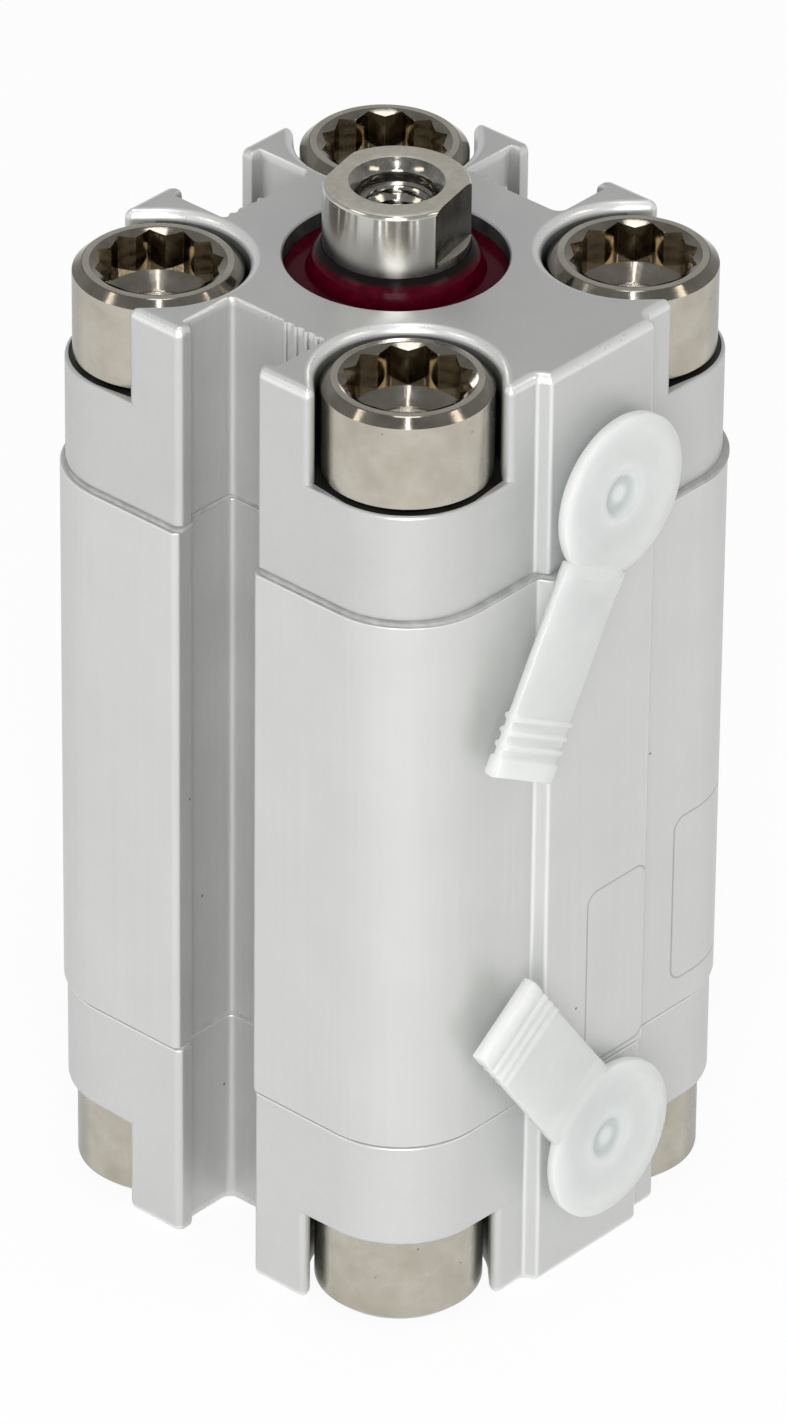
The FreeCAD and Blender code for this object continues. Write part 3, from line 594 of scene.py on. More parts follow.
def cap(name, inset, inner, outer, bore, port, finish):
    """A cap from its inner face to its outer face, with its bore profile from the outer face inwards."""
    mesh = bmesh.new()
    flat, lobe = BARREL_FLAT - inset, BARREL_LOBE - inset
    rise = math.copysign(1, outer - inner)
    seat_floor = outer - rise * SEAT_DEPTH
    whole, seated = housing_corners(flat, lobe), housing_corners(flat, lobe, seats=True)
    low, _ = eased_wall(mesh, whole, (inner, seat_floor), (CAP_SEAM, 0.0), parts=3)
    _, high = eased_wall(mesh, seated, (seat_floor, outer), (0.0, CAP_EDGE), parts=5)
    on_floor = [point for point in mesh.verts if abs(point.co.z - seat_floor) < LEVEL]
    bmesh.ops.remove_doubles(mesh, verts=on_floor, dist=WELD)
    shelf = [edge for edge in mesh.edges if edge.is_boundary
             and all(abs(point.co.z - seat_floor) < LEVEL for point in edge.verts)]
    brims = [edge for edge in shelf
             if any(rise * (point.co.z - seat_floor) < -LEVEL for point in edge.link_faces[0].verts)]
    inner_holes = []
    for place in SCREW_PLACES:
        first, last = lathe(mesh, [(SCREW_CLEARANCE, inner), (SCREW_CLEARANCE, seat_floor)], 64, place)
        inner_holes.append(first)
        shelf += [mesh.edges.get((last[here - 1], last[here])) for here in range(len(last))]
    bmesh.ops.triangle_fill(mesh, use_beauty=True, edges=shelf)
    bmesh.ops.bevel(mesh, geom=brims, offset=SEAT_BRIM, offset_type="OFFSET", segments=3, profile=0.5,
                    affect="EDGES")
    first, last = lathe(mesh, bore, 128)
    fill_flat(mesh, low, *inner_holes, last)
    fill_flat(mesh, high, *([first] if len(first) > 1 else []))
    paint_pad_highlights(mesh, flat)
    piece = settle(mesh, name, finish, seat_shade_finish(f"{name}_seats", outer, rise), slot_shaded_silver, seal_pocket_shade)
    for face in piece.data.polygons:
        middle = face.center / MM
        reach = math.hypot(abs(middle.x) - SCREW_AXIS, abs(middle.y) - SCREW_AXIS)
        depth = rise * (outer - middle.z)
        # Seat faces take the seat finish, whose painted shade darkens with depth.
        if reach < SEAT_RADIUS + SEAT_NEAR and CAP_EDGE < depth < SEAT_DEPTH + SEAT_NEAR / 2:
            face.material_index = 1
        # Faces in a slot take the darker slot silver: painted shade.
        elif in_slot(middle, flat):
            face.material_index = 2
        # Seal pocket faces take the near-black painted shade.
        elif middle.xy.length < SEAL_POCKET + FACE_NEAR and depth > POCKET_CHAMFER[1][1]:
            face.material_index = 3
    cut_away(piece, port_tool(f"{name}_port", flat + PAD_HEIGHT, port))
    even_shading(piece)
    return piece


def mottled_finish(name, metallic, roughness, clouds, colours, sheen, relief, fine=None, drawn=None):
    """Finish with one cloudy pattern in its colour and roughness, and a relief of strength and depth.

    The clouds, and the finer ones that the relief may follow instead, are given as grain takes them.
    """
    finish, tree, shader, vector = new_finish(name, metallic, roughness)
    pattern = grain(tree, stretched(tree, vector, drawn) if drawn else vector, *clouds)
    tree.links.new(blend_colour(tree, pattern, *colours), shader.inputs["Base Color"])
    tree.links.new(between(tree, pattern, 0.0, 1.0, *sheen), shader.inputs["Roughness"])
    emboss(tree, shader, grain(tree, vector, *fine) if fine else pattern, *relief)
    return finish


cap_silver = silver_finish("cap_silver", (0.5, 0.508, 0.503), (0.53, 0.538, 0.533), (0.76, 0.77, 0.765),
                           drawn=False)
# Seal pocket walls: a near-black finish, painted shade in the pocket round the seal.
seal_pocket_shade = mottled_finish("seal_pocket_shade", 0.4, 0.45, (1.2, 0.3, 0.7, 4.0),
                             ((0.03, 0.03, 0.03), (0.075, 0.074, 0.072)), (0.35, 0.55), (0.15, 0.012))

seal_pocket = [(SEAL_POCKET + wide, FRONT_FACE - deep) for wide, deep in POCKET_CHAMFER]
seal_pocket.append((SEAL_POCKET, SEAL_SEAT))
bush_seat = [(BUSH_RADIUS, SEAL_SEAT), (BUSH_RADIUS, FRONT_AIR_FLOOR)]
bearing_cap = cap("bearing_cap_block", FRONT_INSET, FRONT_SEAM, FRONT_FACE,
                  seal_pocket + bush_seat + air_space(FRONT_SEAM, FRONT_AIR_FLOOR),
                  FRONT_FACE - PORT_DISTANCE, cap_silver)
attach(bearing_cap, "housing")
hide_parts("bearing_cap")

# A lighter copy of the cap silver for the end cap: painted light from the floor below.
end_cap_lit_silver = silver_finish("end_cap_lit_silver", (0.545, 0.553, 0.548), (0.575, 0.583, 0.578),
                               (0.78, 0.79, 0.785), drawn=False)
end_cap = cap("end_cap_block", REAR_INSET, REAR_SEAM, 0.0,
              [(0, REAR_AIR_FLOOR)] + air_space(REAR_SEAM, REAR_AIR_FLOOR), PORT_DISTANCE, end_cap_lit_silver)
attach(end_cap, "housing")
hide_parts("end_cap")


# Cap gaskets: die-cut sheets of grey rubber, clamped between the barrel and each cap. The front one
# has crept a little to the port side and shows as a grey ledge, the rear one as a dark hairline.

GASKET_EDGE = 0.06
GASKET_BORE = 8.1
FRONT_GASKET_INSET = 0.06
FRONT_GASKET_CREEP = (0.1, -0.11)
REAR_GASKET_INSET = 0.28

gasket_rubber = mottled_finish("gasket_rubber", 0.0, 0.6, (1.3, 0.35, 0.7, 4.0),
                               ((0.27, 0.275, 0.27), (0.38, 0.385, 0.38)), (0.5, 0.7), (0.3, 0.02),
                               fine=(9.0,))


def gasket(name, inset, ends, creep=(0.0, 0.0)):
    """Thin sheet of the housing's section between two heights, moved sideways by its creep."""
    mesh = bmesh.new()
    low, high = eased_wall(mesh, housing_corners(BARREL_FLAT - inset, BARREL_LOBE - inset), ends,
                           (GASKET_EDGE, GASKET_EDGE), parts=2)
    holes = [(GASKET_BORE, (0.0, 0.0))] + [(SCREW_CLEARANCE, place) for place in SCREW_PLACES]
    walls = [lathe(mesh, [(radius, end) for end in ends], 64, axis) for radius, axis in holes]
    fill_flat(mesh, low, *[wall[0] for wall in walls])
    fill_flat(mesh, high, *[wall[1] for wall in walls])
    bmesh.ops.translate(mesh, verts=mesh.verts, vec=(*creep, 0.0))
    piece = settle(mesh, name, gasket_rubber)
    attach(piece, "housing")
    return piece


front_gasket = gasket("front_cap_gasket_sheet", FRONT_GASKET_INSET, (BARREL_ENDS[1], FRONT_SEAM),
                      FRONT_GASKET_CREEP)
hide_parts("bearing_cap_gasket")
rear_gasket = gasket("rear_cap_gasket_sheet", REAR_GASKET_INSET, (REAR_SEAM, BARREL_ENDS[0]))
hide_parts("end_cap_gasket")


# Rod bush and buffers: a plain brass sleeve pressed into the bearing cap, and two black rubber rings
# let into the caps that soften the piston's stop. All of them lie inside the housing.


def paint(node, finish):
    """Gives a carried-over solid its finish."""
    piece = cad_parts[node]
    piece.data.materials.clear()
    piece.data.materials.append(finish)


paint("rod_bush", mottled_finish(
    "bush_brass", 1.0, 0.3, (6.0,), ((0.55, 0.39, 0.16), (0.68, 0.5, 0.23)), (0.24, 0.38), (0.2, 0.01),
    drawn=(0.05, 0.05, 1.0)))
buffer_rubber = mottled_finish("buffer_rubber", 0.0, 0.6, (1.6, 0.35, 0.75, 4.0),
                               ((0.012, 0.012, 0.013), (0.035, 0.035, 0.037)), (0.48, 0.7), (0.25, 0.02),
                               fine=(8.0,))
for node in ("rear_buffer", "front_buffer", "rod_shoulder_ring"):
    paint(node, buffer_rubber)


# Piston: two turned aluminium halves clamped on the rod by a small steel screw, with a ring magnet,
# a split guide ring of pale plastic and two lip seals between them. It runs in the barrel's bore.

piston_aluminium = mottled_finish("piston_aluminium", 0.9, 0.33, (5.0,),
                                  ((0.6, 0.6, 0.6), (0.72, 0.72, 0.71)), (0.26, 0.4), (0.2, 0.01),
                                  drawn=(0.04, 0.04, 1.0))
for node in ("piston_rear_half", "piston_front_half"):
    paint(node, piston_aluminium)
paint("magnet_ring", mottled_finish(
    "magnet_black", 0.3, 0.5, (4.0,), ((0.03, 0.03, 0.032), (0.075, 0.075, 0.08)), (0.42, 0.6), (0.3, 0.02)))
paint("guide_ring", mottled_finish(
    "guide_cream", 0.0, 0.45, (2.5,), ((0.66, 0.63, 0.54), (0.74, 0.71, 0.62)), (0.38, 0.52), (0.2, 0.015)))
paint("piston_screw", mottled_finish(
    "clamp_steel", 1.0, 0.35, (2.0, 0.3, 0.7, 4.0), ((0.4, 0.38, 0.34), (0.5, 0.48, 0.44)), (0.28, 0.45),
    (0.15, 0.01)))


# Rod seal: a maroon polyurethane lip seal pressed into the bearing cap's pocket. Its wiper lip stands
# up and closes on the rod, and turns nearly black towards its tip.

SEAL_TIP_DARK_LEVELS = (58.2, 58.5)
SEAL_INNER = 4.03
SEAL_OUTER = 6.08
SEAL_LOW = 55.22
SEAL_LEDGE = 57.07
SEAL_TIP = 58.76

finish, tree, shader, vector = new_finish("seal_maroon", 0.0, 0.28)
rubbed = grain(tree, vector, 1.8, 0.3, 0.75, 4.0)
parts = tree.nodes.new("ShaderNodeSeparateXYZ")
tree.links.new(vector, parts.inputs["Vector"])
# The lip turns nearly black towards its tip.
darkening_tip = between(tree, parts.outputs["Z"], *SEAL_TIP_DARK_LEVELS, 0.0, 1.0)
maroon = blend_colour(tree, rubbed, (0.036, 0.0004, 0.004), (0.063, 0.0008, 0.0068))
tree.links.new(blend_colour(tree, darkening_tip, maroon, (0.006, 0.005, 0.0048)), shader.inputs["Base Color"])
tree.links.new(between(tree, rubbed, 0.0, 1.0, 0.12, 0.26), shader.inputs["Roughness"])
shader.inputs["Specular IOR Level"].default_value = 0.06
emboss(tree, shader, grain(tree, vector, 2.0), 0.15, 0.02)
seal_maroon = finish

mesh = bmesh.new()
seal_section = [(4.35, SEAL_LOW, 0.05, 1), (SEAL_OUTER, SEAL_LOW, 0.1, 1), (SEAL_OUTER, SEAL_LEDGE, 0.12, 1),
                (4.82, SEAL_LEDGE, 0.2, 1), (4.55, 58.1, 0.08, 1), (SEAL_INNER, SEAL_TIP, 0.02, 1),
                (SEAL_INNER, 58.6, 0.02, 1), (4.3, 57.6, 0.2, 1)]
seal_line = outline(seal_section, step=0.05)
lathe(mesh, [tuple(point) for point in seal_line + seal_line[:1]], 128)
rod_seal = settle(mesh, "rod_wiper_seal", seal_maroon, crease=60)
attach(rod_seal, "housing")
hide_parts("rod_seal")
for node in ("front_piston_seal", "rear_piston_seal"):
    paint(node, seal_maroon)


# Piston rod: stainless bar, turned and roller burnished, with two milled spanner flats at its end,
# a countersunk mouth and a threaded hole for the load. It slides in the bush and can be turned.

ROD_RADIUS = 4.0
ROD_TOP = 62.5
ROD_FOOT = 24.9
SPIGOT_RADIUS = 2.5
SPIGOT_TOP = 29.3
FLAT_FLOOR = 59.25
FLAT_REACH = 3.5
FLATS_TURN = math.radians(-76.6)
FLAT_CUT = 6.0
CUTTER_RISE = 1.0
UPWARD = 0.9
ROD_MOUTH = 2.6
ROD_RIM = 0.06
ROD_HOLE_END = 53.0
ROD_HOLE_MARGIN = 3.0
ROD_THREAD_MOUTH = 61.4
ROD_THREAD_TOP = 61.25
ROD_THREAD_STEPS = 111
THREAD_CORE = 1.65
THREAD_DEPTH = 0.34
THREAD_PITCH = 0.7
THREAD_STEP = 0.07
THREAD_FADE = 0.3
CUT_NEAR = 0.01

finish, tree, shader, vector = new_finish("rod_stainless", 1.0, 0.16)
bands = grain(tree, stretched(tree, vector, (1.0, 1.0, 0.02)), 1.6, 0.3, 0.7, 3.0)
steel = blend_colour(tree, bands, (0.52, 0.51, 0.475), (0.6, 0.59, 0.555))
tree.links.new(steel, shader.inputs["Base Color"])
tree.links.new(between(tree, bands, 0.0, 1.0, 0.16, 0.22), shader.inputs["Roughness"])
emboss(tree, shader, bands, 0.03, 0.004)
shader.inputs["Anisotropic"].default_value = 0.8
shader.inputs["Anisotropic Rotation"].default_value = 0.25
around = tree.nodes.new("ShaderNodeVectorMath")
around.operation = "CROSS_PRODUCT"
around.inputs[0].default_value = (0.0, 0.0, 1.0)
tree.links.new(vector, around.inputs[1])
turned = tree.nodes.new("ShaderNodeVectorTransform")
turned.vector_type = "VECTOR"
turned.convert_from = "OBJECT"
turned.convert_to = "WORLD"
tree.links.new(around.outputs[0], turned.inputs["Vector"])
tree.links.new(turned.outputs["Vector"], shader.inputs["Tangent"])
rod_stainless = finish

rod_end_matte = mottled_finish("rod_end_matte", 0.85, 0.45, (3.0, 0.3, 0.7, 4.0),
                               ((0.49, 0.465, 0.4), (0.58, 0.555, 0.49)), (0.4, 0.55), (0.35, 0.02),
                               fine=(7.0, 0.25, 0.75, 4.0))
# Hole in the rod's end: polished, with a dark colour that paints the shade inside the hole.
rod_mouth_shaded = mottled_finish("rod_mouth_shaded", 1.0, 0.12, (1.5, 0.3, 0.7, 4.0),
                                  ((0.19, 0.183, 0.163), (0.34, 0.33, 0.3)), (0.08, 0.2), (0.2, 0.01))
# Spanner flats: a near-black colour that paints the dark reflection on the milled flats.
rod_flat_dark_reflection = mottled_finish("rod_flat_dark_reflection", 0.9, 0.35, (1.1, 0.3, 0.7, 5.0, 0.65),
                                 ((0.045, 0.043, 0.037), (0.115, 0.11, 0.096)), (0.16, 0.32), (0.25, 0.02),
                                 drawn=(1.0, 1.0, 0.5))


def drilled(top, steps):
    """Profile of a hole at the thread's core radius, in steps downwards from its top."""
    return [(THREAD_CORE, top - THREAD_STEP * step) for step in range(1, steps + 1)]


def cut_thread(mesh, mouth):
    """Moves the points of a drilled hole out onto a thread that fades away towards the hole's mouth."""
    for point in mesh.verts:
        if abs(math.hypot(point.co.x, point.co.y) - THREAD_CORE) < CUT_NEAR:
            angle = math.atan2(point.co.y, point.co.x)
            fade = min(1.0, (mouth - point.co.z) / THREAD_FADE)
            reach = thread_reach(THREAD_CORE, point.co.z, angle, THREAD_PITCH, THREAD_DEPTH * fade)
            point.co.x, point.co.y = reach * math.cos(angle), reach * math.sin(angle)


mesh = bmesh.new()
rod_section = [(0, ROD_FOOT), (SPIGOT_RADIUS, ROD_FOOT), (SPIGOT_RADIUS, SPIGOT_TOP), (3.85, SPIGOT_TOP),
               (ROD_RADIUS, 29.45), (ROD_RADIUS, 59.0), (ROD_RADIUS, 62.22), (3.97, 62.34), (3.86, 62.44),
               (3.74, 62.49), (3.66, ROD_TOP), (2.68, ROD_TOP), (ROD_MOUTH, 62.47), (2.1, 61.97),
               (2.05, 61.88), (2.03, 61.3)]
lathe(mesh, rod_section + drilled(ROD_THREAD_TOP, ROD_THREAD_STEPS) + [(0, ROD_HOLE_END)], 128)
cut_thread(mesh, ROD_THREAD_MOUTH)
rod = settle(mesh, "rod_bar", rod_stainless, rod_end_matte, rod_mouth_shaded, rod_flat_dark_reflection, crease=38)
for turn in (FLATS_TURN, FLATS_TURN + math.pi):
    tool = bmesh.new()
    flat_line = [(FLAT_REACH, -ROD_RADIUS, 0, 1), (FLAT_CUT, -ROD_RADIUS, 0, 1),
                 (FLAT_CUT, ROD_RADIUS, 0, 1), (FLAT_REACH, ROD_RADIUS, 0, 1)]
    low, high = eased_wall(tool, flat_line, (FLAT_FLOOR, ROD_TOP + CUTTER_RISE), (0.0, 0.0))
    fill_flat(tool, low)
    fill_flat(tool, high)
    bmesh.ops.rotate(tool, verts=tool.verts, matrix=Matrix.Rotation(turn, 3, "Z"))
    cut_away(rod, settle(tool, "flat_cutter"))
for face in rod.data.polygons:
    centre = face.center / MM
    across = math.hypot(centre.x, centre.y)
    out = abs(centre.x * math.cos(FLATS_TURN) + centre.y * math.sin(FLATS_TURN))
    at_end = centre.z > FLAT_FLOOR - FACE_NEAR
    if at_end and abs(out - FLAT_REACH) < CUT_NEAR:
        face.material_index = 3
    elif at_end and face.normal.z > UPWARD and across > ROD_MOUTH:
        face.material_index = 1
    elif across < ROD_MOUTH + ROD_RIM and centre.z > ROD_HOLE_END - ROD_HOLE_MARGIN:
        face.material_index = 2
even_shading(rod)
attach(rod, "rod")
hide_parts("piston_rod")


# Cap screws: four socket head screws at each end, turned from steel with a twelve-point socket and
# a threaded hole in the head for mounting, then nickel plated. They pull the cap onto the barrel.

HEAD_RADIUS = 4.65
HEAD_HEIGHT = 5.6
SHANK_RADIUS = 3.0
SHANK_LENGTH = 14.65
SOCKET_CORNER = 3.55
SOCKET_FLOOR = 3.25
SOCKET_CONE = 2.6
SOCKET_RADIUS = 3.14
SOCKET_NOTCH = SOCKET_CORNER * math.cos(math.radians(30)) / math.cos(math.radians(15))
SOCKET_POINTS = 12
SOCKET_FACING = 0.2
SOCKET_CONE_TOP = 4.0
HEAD_BEVEL = 4.95
FOOT_BEVEL = 0.3
BEVEL_FACING = (0.3, 0.96)
SCREW_THREAD_TOP = 2.45
SCREW_THREAD_STEPS = 82
SCREW_HOLE_END = -4.2
SCREW_CREASE = 15
FRONT_SEED = 3
REAR_SEED = 8

finish, tree, shader, vector = new_finish("screw_nickel", 1.0, 0.36)
stain = grain(tree, vector, 0.5, 0.3, 0.75, 4.0, 0.55)
frost = grain(tree, vector, 5.0, 0.35, 0.7, 3.0)
facing = tree.nodes.new("ShaderNodeLayerWeight")
# Towards the head's outline the nickel darkens: painted dark reflection at grazing angles.
grazing_shade = between(tree, facing.outputs["Facing"], 0.55, 0.9, 0.0, 0.85)
plated = blend_colour(tree, stain, (0.44, 0.41, 0.345), (0.555, 0.525, 0.46))
flecks = worked(tree, "MULTIPLY", specks(tree, vector, 1.2, 0.07, 0.25), 0.6)
plated = blend_colour(tree, flecks, plated, (0.12, 0.108, 0.085))
tree.links.new(blend_colour(tree, grazing_shade, plated, (0.1, 0.095, 0.085)), shader.inputs["Base Color"])
frosted = worked(tree, "MULTIPLY", frost, stain)
tree.links.new(between(tree, frosted, 0.0, 1.0, 0.2, 0.34), shader.inputs["Roughness"])
emboss(tree, shader, grain(tree, vector, 6.0, 0.3, 0.7, 3.0), 0.16, 0.012)
screw_nickel = finish

# Head chamfer and socket floor cone: a dark nickel that paints the dark reflections on the chamfer.
screw_bevel_dark_reflection = mottled_finish("screw_bevel_dark_reflection", 1.0, 0.14, (0.8, 0.3, 0.7, 3.0),
                                 ((0.19, 0.175, 0.148), (0.28, 0.26, 0.225)), (0.07, 0.14), (0.1, 0.01),
                                 fine=(3.0,))
socket_bronze = mottled_finish("socket_bronze", 1.0, 0.18, (0.8, 0.35, 0.7, 4.0),
                               ((0.2, 0.165, 0.112), (0.35, 0.292, 0.208)), (0.08, 0.16), (0.12, 0.012),
                               fine=(4.0,))

mesh = bmesh.new()
screw_section = [(0, -SHANK_LENGTH), (2.5, -SHANK_LENGTH), (SHANK_RADIUS, 0.5 - SHANK_LENGTH),
                 (SHANK_RADIUS, 0.0), (4.42, 0.0), (4.46, 0.02), (4.63, 0.2), (HEAD_RADIUS, 0.26),
                 (HEAD_RADIUS, 5.06), (4.635, 5.12), (4.15, 5.56), (4.08, 5.59), (4.0, HEAD_HEIGHT),
                 (3.72, HEAD_HEIGHT), (3.64, 5.57), (3.2, 5.35), (SOCKET_RADIUS, 5.28),
                 (SOCKET_RADIUS, SOCKET_FLOOR), (2.05, SOCKET_CONE), (2.0, 2.5)]
lathe(mesh, screw_section + drilled(SCREW_THREAD_TOP, SCREW_THREAD_STEPS) + [(0, SCREW_HOLE_END)], 96)
cut_thread(mesh, SOCKET_CONE)
cap_screw = settle(mesh, "cap_screw")
tool = bmesh.new()
star = []
for part in range(2 * SOCKET_POINTS):
    radius = SOCKET_NOTCH if part % 2 else SOCKET_CORNER
    angle = math.pi * part / SOCKET_POINTS
    star.append((radius * math.cos(angle), radius * math.sin(angle), 0.03, 1.0))
low, high = eased_wall(tool, star, (SOCKET_FLOOR, HEAD_HEIGHT + CUTTER_RISE), (0.0, 0.0))
fill_flat(tool, low)
fill_flat(tool, high)
cut_away(cap_screw, settle(tool, "socket_broach"))
in_socket = cap_screw.data.attributes.new("in_socket", "BOOLEAN", "FACE")
on_bevel = cap_screw.data.attributes.new("on_bevel", "BOOLEAN", "FACE")
for face in cap_screw.data.polygons:
    centre = face.center / MM
    across = math.hypot(centre.x, centre.y)
    upward = face.normal.z
    faces_in = face.normal.x * centre.x + face.normal.y * centre.y < -SOCKET_FACING * across
    upright = faces_in and upward < BEVEL_FACING[0]
    in_socket.data[face.index].value = upright and across < SOCKET_CORNER + FACE_NEAR
    slanted = BEVEL_FACING[0] < abs(upward) < BEVEL_FACING[1]
    brim_or_cone = upward > 0 and (centre.z > HEAD_BEVEL or SOCKET_CONE < centre.z < SOCKET_CONE_TOP)
    under_head = upward < 0 and 0.0 < centre.z < FOOT_BEVEL
    on_bevel.data[face.index].value = slanted and (brim_or_cone or under_head)

screw_tree = bpy.data.node_groups.new("screws_in_seats", "GeometryNodeTree")
sockets = {}
screw_tree.interface.new_socket("Screw", in_out="INPUT", socket_type="NodeSocketGeometry")
for kind, labels in (("Float", ("Pitch", "Seat height", "Flip")), ("Int", ("Seed",)),
                     ("Material", ("Outside", "Bevel", "Socket"))):
    for label in labels:
        socket = screw_tree.interface.new_socket(label, in_out="INPUT", socket_type=f"NodeSocket{kind}")
        sockets[label] = socket.identifier
screw_tree.interface.new_socket("Screws", in_out="OUTPUT", socket_type="NodeSocketGeometry")
link = screw_tree.links.new
given = screw_tree.nodes.new("NodeGroupInput")
seats = screw_tree.nodes.new("GeometryNodeMeshGrid")
seats.inputs["Vertices X"].default_value = 2
seats.inputs["Vertices Y"].default_value = 2
link(given.outputs["Pitch"], seats.inputs["Size X"])
link(given.outputs["Pitch"], seats.inputs["Size Y"])
angle = screw_tree.nodes.new("FunctionNodeRandomValue")
angle.data_type = "FLOAT"
angle.inputs["Min"].default_value = 0.0
angle.inputs["Max"].default_value = 2 * math.pi / SOCKET_POINTS
link(given.outputs["Seed"], angle.inputs["Seed"])
spin = screw_tree.nodes.new("ShaderNodeCombineXYZ")
link(angle.outputs[1], spin.inputs["Z"])
placed = screw_tree.nodes.new("GeometryNodeInstanceOnPoints")
link(seats.outputs["Mesh"], placed.inputs["Points"])
link(given.outputs["Screw"], placed.inputs["Instance"])
link(spin.outputs["Vector"], placed.inputs["Rotation"])
tilt = screw_tree.nodes.new("ShaderNodeCombineXYZ")
link(given.outputs["Flip"], tilt.inputs["X"])
lift = screw_tree.nodes.new("ShaderNodeCombineXYZ")
link(given.outputs["Seat height"], lift.inputs["Z"])
seated = screw_tree.nodes.new("GeometryNodeTransform")
link(placed.outputs["Instances"], seated.inputs["Geometry"])
link(tilt.outputs["Vector"], seated.inputs["Rotation"])
link(lift.outputs["Vector"], seated.inputs["Translation"])
realized = screw_tree.nodes.new("GeometryNodeRealizeInstances")
link(seated.outputs["Geometry"], realized.inputs["Geometry"])
coated = realized.outputs["Geometry"]
for label, zone in (("Outside", None), ("Bevel", "on_bevel"), ("Socket", "in_socket")):
    coat = screw_tree.nodes.new("GeometryNodeSetMaterial")
    link(coated, coat.inputs["Geometry"])
    link(given.outputs[label], coat.inputs["Material"])
    if zone:
        marked = screw_tree.nodes.new("GeometryNodeInputNamedAttribute")
        marked.data_type = "BOOLEAN"
        marked.inputs["Name"].default_value = zone
        link(marked.outputs["Attribute"], coat.inputs["Selection"])
    coated = coat.outputs["Geometry"]
result = screw_tree.nodes.new("NodeGroupOutput")
link(coated, result.inputs["Screws"])


def screw_group(name, height, flip, seed, node):
    """Four screws in the seats of one cap, as one plain mesh."""
    holder = bpy.data.objects.new(name, cap_screw.data)
    scene.collection.objects.link(holder)
    modifier = holder.modifiers.new("seats", "NODES")
    modifier.node_group = screw_tree
    values = {"Pitch": 2 * SCREW_AXIS * MM, "Seat height": height * MM, "Flip": flip, "Seed": seed,
              "Outside": screw_nickel, "Bevel": screw_bevel_dark_reflection, "Socket": socket_bronze}
    for label, value in values.items():
        modifier[sockets[label]] = value
    bpy.context.view_layer.update()
    evaluated = holder.evaluated_get(bpy.context.evaluated_depsgraph_get())
    data = bpy.data.meshes.new_from_object(evaluated)
    holder.modifiers.remove(modifier)
    holder.data = data
    data.name = name
    data.shade_smooth()
    data.set_sharp_from_angle(angle=math.radians(SCREW_CREASE))
    even_shading(holder)
    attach(holder, "housing")
    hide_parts(node)


screw_group("front_screw_set", FRONT_FACE - SEAT_DEPTH, 0.0, FRONT_SEED, "front_cap_screws")
screw_group("rear_screw_set", SEAT_DEPTH, math.pi, REAR_SEED, "rear_cap_screws")
bpy.data.objects.remove(cap_screw)


# Port plugs: milky polyethylene transit plugs, moulded in one with a pull strap that ends in a thick
# lip and three grip bars. A stem pushes into the air port, and a dished disc stays just off the pad.

PLUG_RADIUS = 4.7
PLUG_UNDER = 1.0
PLUG_TOP = 1.65
PLUG_DISH = 3.95
PLUG_RECESS = 1.25
PLUG_STEM = 2.05
PLUG_STEM_END = -4.6
PLUG_FLOOR = 1.22
PLUG_EASE = 0.07
STRAP_HALF = 2.6
STRAP_LEVELS = (1.1, 1.6)
STRAP_ROOT = 0.15
STRAP_STEP = 0.004
STRAP_DROP = (0.3, 0.9)
FRONT_STRAP_TURN = 241.0
FRONT_STRAP_REACH = 16.3
REAR_STRAP_TURN = 126.1
REAR_STRAP_REACH = 15.0
GRIP_HEIGHT = 0.2
GRIP_PITCH = 0.8
GRIP_LIP = 1.2
GRIP_SLOPE = 0.08
GRIPS = 3
PALE_RIM = 0.25
PALE_LEVEL = 0.5
PALE_FACING = 0.95


def plug_finish(name, level):
    """Milky plastic of one plug, with painted light at the disc's rim and edges, where the light comes
    through, and a painted shade ring round the stem.
    """
    finish, tree, shader, vector = new_finish(name, 0.0, 0.36)
    cloudy = grain(tree, vector, 0.45, 0.3, 0.7, 3.0)
    middle = tree.nodes.new("ShaderNodeVectorMath")
    middle.operation = "MULTIPLY_ADD"
    tree.links.new(vector, middle.inputs[0])
    middle.inputs[1].default_value = (1.0, 0.0, 1.0)
    middle.inputs[2].default_value = (0.0, 0.0, -level)
    away = tree.nodes.new("ShaderNodeVectorMath")
    away.operation = "LENGTH"
    tree.links.new(middle.outputs[0], away.inputs[0])
    distance = away.outputs["Value"]
    rim_light = worked(tree, "MULTIPLY", between(tree, distance, PLUG_RADIUS - 0.6, PLUG_RADIUS - 0.1, 0.0, 1.0),
                 between(tree, distance, PLUG_RADIUS + 0.05, PLUG_RADIUS + 0.25, 1.0, 0.0))
    # A darker ring round the stem's recess: painted shade.
    stem_ring_shade = worked(tree, "MULTIPLY", between(tree, distance, 0.35, 0.7, 0.0, 1.0),
                  between(tree, distance, PLUG_RECESS - 0.2, PLUG_RECESS + 0.35, 1.0, 0.0))
    colour = blend_colour(tree, cloudy, (0.815, 0.87, 0.855), (0.87, 0.92, 0.905))
    colour = blend_colour(tree, rim_light, colour, (0.89, 0.935, 0.91))
    colour = blend_colour(tree, worked(tree, "MULTIPLY", stem_ring_shade, 0.65), colour, (0.5, 0.55, 0.55))
    colour = blend_colour(tree, worked(tree, "MULTIPLY", edge_wear_and_sheen(tree), 0.7), colour, (0.91, 0.95, 0.92))
    tree.links.new(colour, shader.inputs["Base Color"])
    tree.links.new(between(tree, grain(tree, vector, 3.0), 0.0, 1.0, 0.36, 0.5), shader.inputs["Roughness"])
    shader.inputs["Subsurface Weight"].default_value = 1.0
    shader.inputs["Subsurface Radius"].default_value = (1.0, 1.0, 1.0)
    shader.inputs["Subsurface Scale"].default_value = 0.003
    shader.inputs["Transmission Weight"].default_value = 0.25
    shader.inputs["IOR"].default_value = 1.45
    emboss(tree, shader, grain(tree, vector, 1.0), 0.1, 0.03)
    return finish


